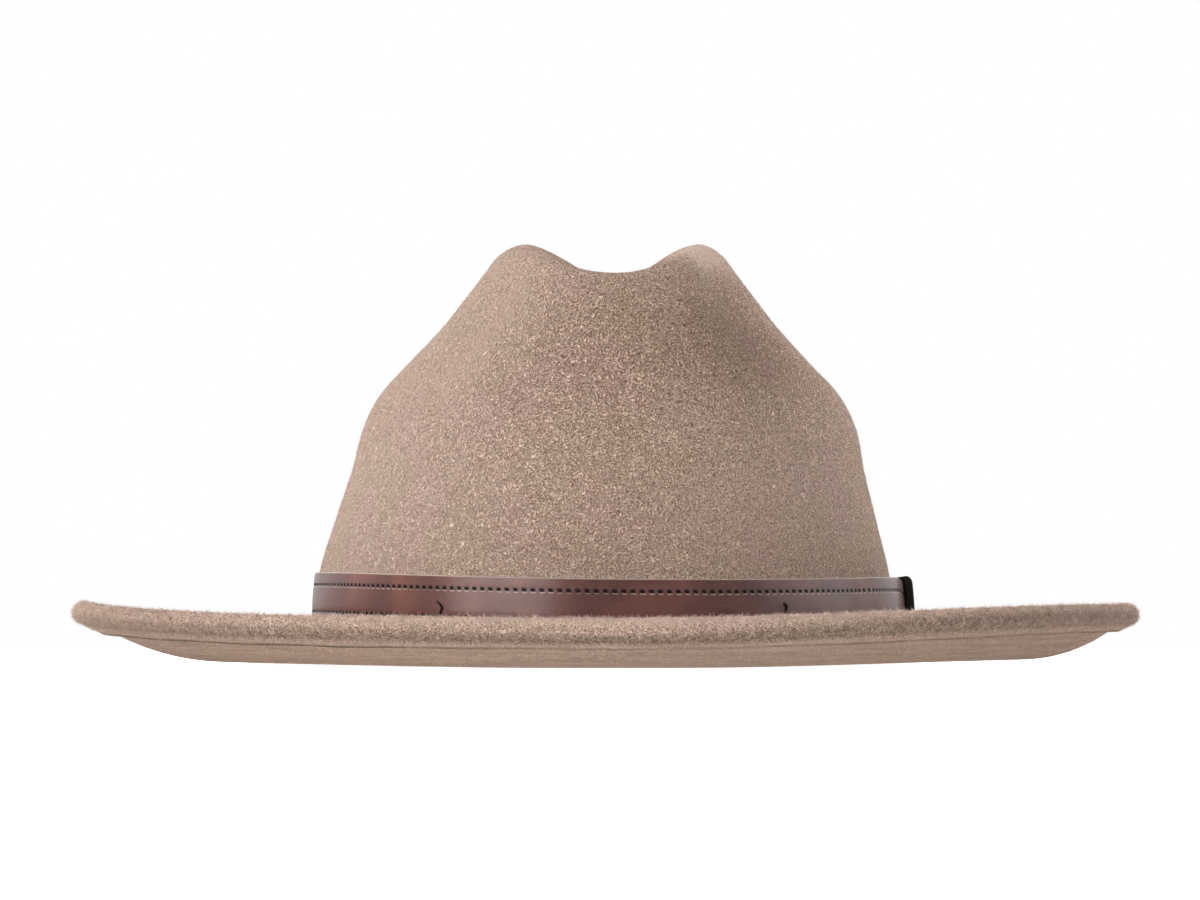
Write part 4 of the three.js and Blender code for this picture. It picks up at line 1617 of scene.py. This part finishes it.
@dataclass
class BandKeeper:
    """The loop that both layers of the strap pass through.

    The wall's section is a share along the band by a share from hole to shell. Its
    rims are rounded, and rim_round and rim_share are their reach each way.
    """

    path: StrapPath
    finish: LeatherFinish = LeatherFinish(
        "keeper_leather",
        dark=(0.010, 0.007, 0.005),
        middle=(0.020, 0.014, 0.010),
        pale=(0.034, 0.025, 0.018),
        edge=(0.012, 0.009, 0.007),
        roughness=0.5,
        coat=0.1,
        cell=1600.0,
        grain_depth=0.06,
        sewn=False,
    )
    face: float = 2.7
    wall: float = 1.0
    hole_corners: Span = (0.3, 0.3)
    shell_corners: Span = (0.5, 1.9)
    rim_round: float = 0.4
    rim_share: float = 0.32
    rim_from: float = 0.9
    mm_per_degree: float = 1.5
    samples: int = 120
    corner_points: int = 9
    rim_points: int = 6
    rows: int = 24

    def outline(self, heights: Span, depths: Span, corners: Span) -> Array:
        """A rounded rectangle in height and depth, sampled at even steps along it.

        Args:
            heights: Lowest and highest height.
            depths: Depth next to the felt and depth of the face.
            corners: Corner radius next to the felt and at the face.

        Returns:
            Height and depth, samples by 2.
        """
        (bottom, roof), (back, front), (back_r, front_r) = heights, depths, corners
        q = np.linspace(0.0, math.pi / 2, self.corner_points)
        c, s = np.cos(q), np.sin(q)
        parts = [
            np.stack([bottom + back_r - back_r * s, back + back_r - back_r * c], 1)[::-1],
            np.stack([roof - back_r + back_r * s, back + back_r - back_r * c], 1),
            np.stack([roof - front_r + front_r * c, front - front_r + front_r * s], 1),
            np.stack([bottom + front_r - front_r * s, front - front_r + front_r * c], 1),
        ]
        loop = np.concatenate(parts + [parts[0][:1]])
        run = travel(loop)
        even = np.linspace(0, run[-1], self.samples + 1)[:-1]
        return np.stack([np.interp(even, run, loop[:, k]) for k in (0, 1)], axis=1)

    def section(self) -> tuple[Array, Array]:
        """The wall's section: shares along the band (x) and from hole to shell (y)."""
        width = (self.path.keeper_to - self.path.keeper_from) * self.mm_per_degree
        rx, ry = self.rim_round / width, self.rim_share
        q = np.linspace(0.0, math.pi / 2, self.rim_points)
        s, c = np.sin(q), np.cos(q)
        flat = np.linspace(rx, 1 - rx, self.rows)
        far, near = (1 - rx + rx * s, 1 - rx + rx * c), (rx - rx * s, rx - rx * c)
        x = np.concatenate([flat, *far, flat[::-1], *near])
        outer, inner = (1 - ry + ry * c, ry - ry * s), (ry - ry * c, 1 - ry + ry * s)
        y = np.concatenate([0 * flat + 1, *outer, 0 * flat, *inner])
        keep = np.concatenate([[True], np.hypot(np.diff(x), np.diff(y)) > 1e-6])
        return x[keep], y[keep]

    def build(self) -> None:
        """Sweeps a rounded section between the hole's outline and the outer outline."""
        path = self.path
        gap = path.gap
        middle = 0.5 * (path.keeper_from + path.keeper_to)
        half = float(path.half_width(np.array([middle]))[0])
        low, high = path.middle - half, path.middle + half
        inner_depth = gap + path.keeper_wall
        outer_depth = inner_depth + 2 * path.leather + 3 * gap
        hole = self.outline((low - gap, high + gap), (inner_depth, outer_depth), self.hole_corners)
        heights = (low - gap - self.wall, high + gap + self.wall)
        shell = self.outline(heights, (gap, outer_depth + self.face), self.shell_corners)
        x, y = self.section()
        section = mix(hole[None], shell[None], y[:, None, None])
        degrees = mix(path.keeper_from, path.keeper_to, x)[:, None]
        grid = path.point(degrees + 0 * section[..., 0], section[..., 0], section[..., 1])
        faces = grid_faces(grid.shape[0], grid.shape[1], True, True)
        rim = eased(np.abs(2 * x - 1), self.rim_from, 1.0)[:, None] + 0 * section[..., 0]
        made = MeshParts(grid.reshape(-1, 3), faces, values={"rim": rim}).build("keeper_loop")
        made.data.materials.append(self.finish.make())
        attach(made, "root")
        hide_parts(Node.KEEPER.value)
        LOG.info("keeper_loop: %d faces", len(faces))


# Studio


@dataclass
class Studio:
    """Camera, lights, world and floor."""

    distance: float = 1.300
    eye_height: float = 0.008
    azimuth: float = -1.3
    focal_pixels: float = 4377.0
    frame_width: float = 1200.0
    horizon_below_middle: float = 188.0
    axis_right_of_middle: float = 4.5
    sensor: float = 36.0
    lamp_aim: float = 0.05
    key_colour: Colour = (1.0, 0.985, 0.97)
    front_light: Span = (0.95, 0.03)
    back_light: Span = (1.0, 0.25)
    floor_radius: float = 6000.0
    floor_drop: float = 0.05
    floor_sides: int = 96

    def camera(self) -> None:
        """A long lens just above the floor, tilted up a little, in front of the hat."""
        data = bpy.data.cameras.new("camera")
        data.sensor_width = self.sensor
        data.lens = self.focal_pixels * self.sensor / self.frame_width
        data.clip_start, data.clip_end = 0.05, 50.0
        a = math.radians(self.azimuth)
        place = Vector((math.sin(a) * self.distance, -math.cos(a) * self.distance, self.eye_height))
        right = Vector((math.cos(a), math.sin(a), 0.0))
        per_pixel = self.distance / self.focal_pixels
        target = Vector((0.0, 0.0, self.eye_height + self.horizon_below_middle * per_pixel))
        target -= right * self.axis_right_of_middle * per_pixel
        camera = bpy.data.objects.new("camera", data)
        camera.location = place
        camera.rotation_mode = "QUATERNION"
        camera.rotation_quaternion = (target - place).to_track_quat("-Z", "Y")
        bpy.context.scene.collection.objects.link(camera)
        bpy.context.scene.camera = camera

    def lamp(self, name: str, place: Vector, size: float, power: float, colour: Colour = (1, 1, 1)) -> None:
        """A square area light that faces the hat's crown.

        Args:
            name: The light's name.
            place: Where it stands, in metres.
            size: Side of the square, in metres.
            power: Power in watts.
            colour: Light colour.
        """
        data = bpy.data.lights.new(name, "AREA")
        data.size, data.energy, data.color = size, power, colour
        lamp = bpy.data.objects.new(name, data)
        lamp.location = place
        lamp.rotation_mode = "QUATERNION"
        target = Vector((0.0, 0.0, self.lamp_aim))
        lamp.rotation_quaternion = (target - place).to_track_quat("-Z", "Y")
        bpy.context.scene.collection.objects.link(lamp)

    def world(self) -> None:
        """White to the camera; as a light, brighter behind the hat and near the horizon."""
        world = bpy.data.worlds.new("studio")
        bpy.context.scene.world = world
        world.use_nodes = True
        world.node_tree.nodes.clear()
        tree = Tree(world.node_tree)
        place = tree.add("ShaderNodeTexCoord").outputs["Object"]
        _, toward, up = tree.add("ShaderNodeSeparateXYZ", {0: place}).outputs
        front = tree.span(up, 0.0, 0.45, *self.front_light)
        back = tree.span(up, 0.1, 0.6, *self.back_light)
        strength = tree.span(toward, -0.3, 0.5, front, back)
        seen = tree.add("ShaderNodeBackground", {"Color": (1, 1, 1, 1), "Strength": 1.0})
        light = tree.add("ShaderNodeBackground", {"Color": (1, 1, 1, 1), "Strength": strength})
        rays = tree.add("ShaderNodeLightPath").outputs["Is Camera Ray"]
        both = tree.add("ShaderNodeMixShader", {0: rays, 1: light.outputs[0], 2: seen.outputs[0]})
        tree.add("ShaderNodeOutputWorld", {"Surface": both.outputs[0]})

    def floor(self) -> None:
        """A wide plain disc just under the brim."""
        turn = TAU * np.arange(self.floor_sides) / self.floor_sides
        x, y = self.floor_radius * np.cos(turn), self.floor_radius * np.sin(turn)
        rim = np.stack([x, y, np.full_like(x, -self.floor_drop)], axis=1)
        parts = MeshParts(rim, np.zeros((0, 4), dtype=int), [list(range(self.floor_sides))])
        made = parts.build("floor")
        made.data.materials.append(FloorFinish("studio_floor").make())

    def build(self) -> None:
        """Sets up everything that isn't the hat."""
        scene = bpy.context.scene
        scene.view_settings.view_transform = "Standard"
        self.camera()
        self.world()
        self.floor()
        self.lamp("key", Vector((-1.4, -1.25, 0.15)), size=1.5, power=56.0, colour=self.key_colour)
        self.lamp("side", Vector((1.7, 0.1, 0.25)), size=1.4, power=13.0)
        self.lamp("top", Vector((0.0, 0.75, 1.5)), size=1.1, power=30.0)


def main() -> None:
    """Builds the studio and the hat's pieces in order."""
    logging.basicConfig(level=logging.INFO, format="%(name)s: %(message)s")
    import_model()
    Studio().build()
    form = HatForm()
    path = StrapPath(form)
    FeltBody(form).build()
    LeatherBand(path).build()
    BandKeeper(path).build()


if __name__ == "__main__":
    main()
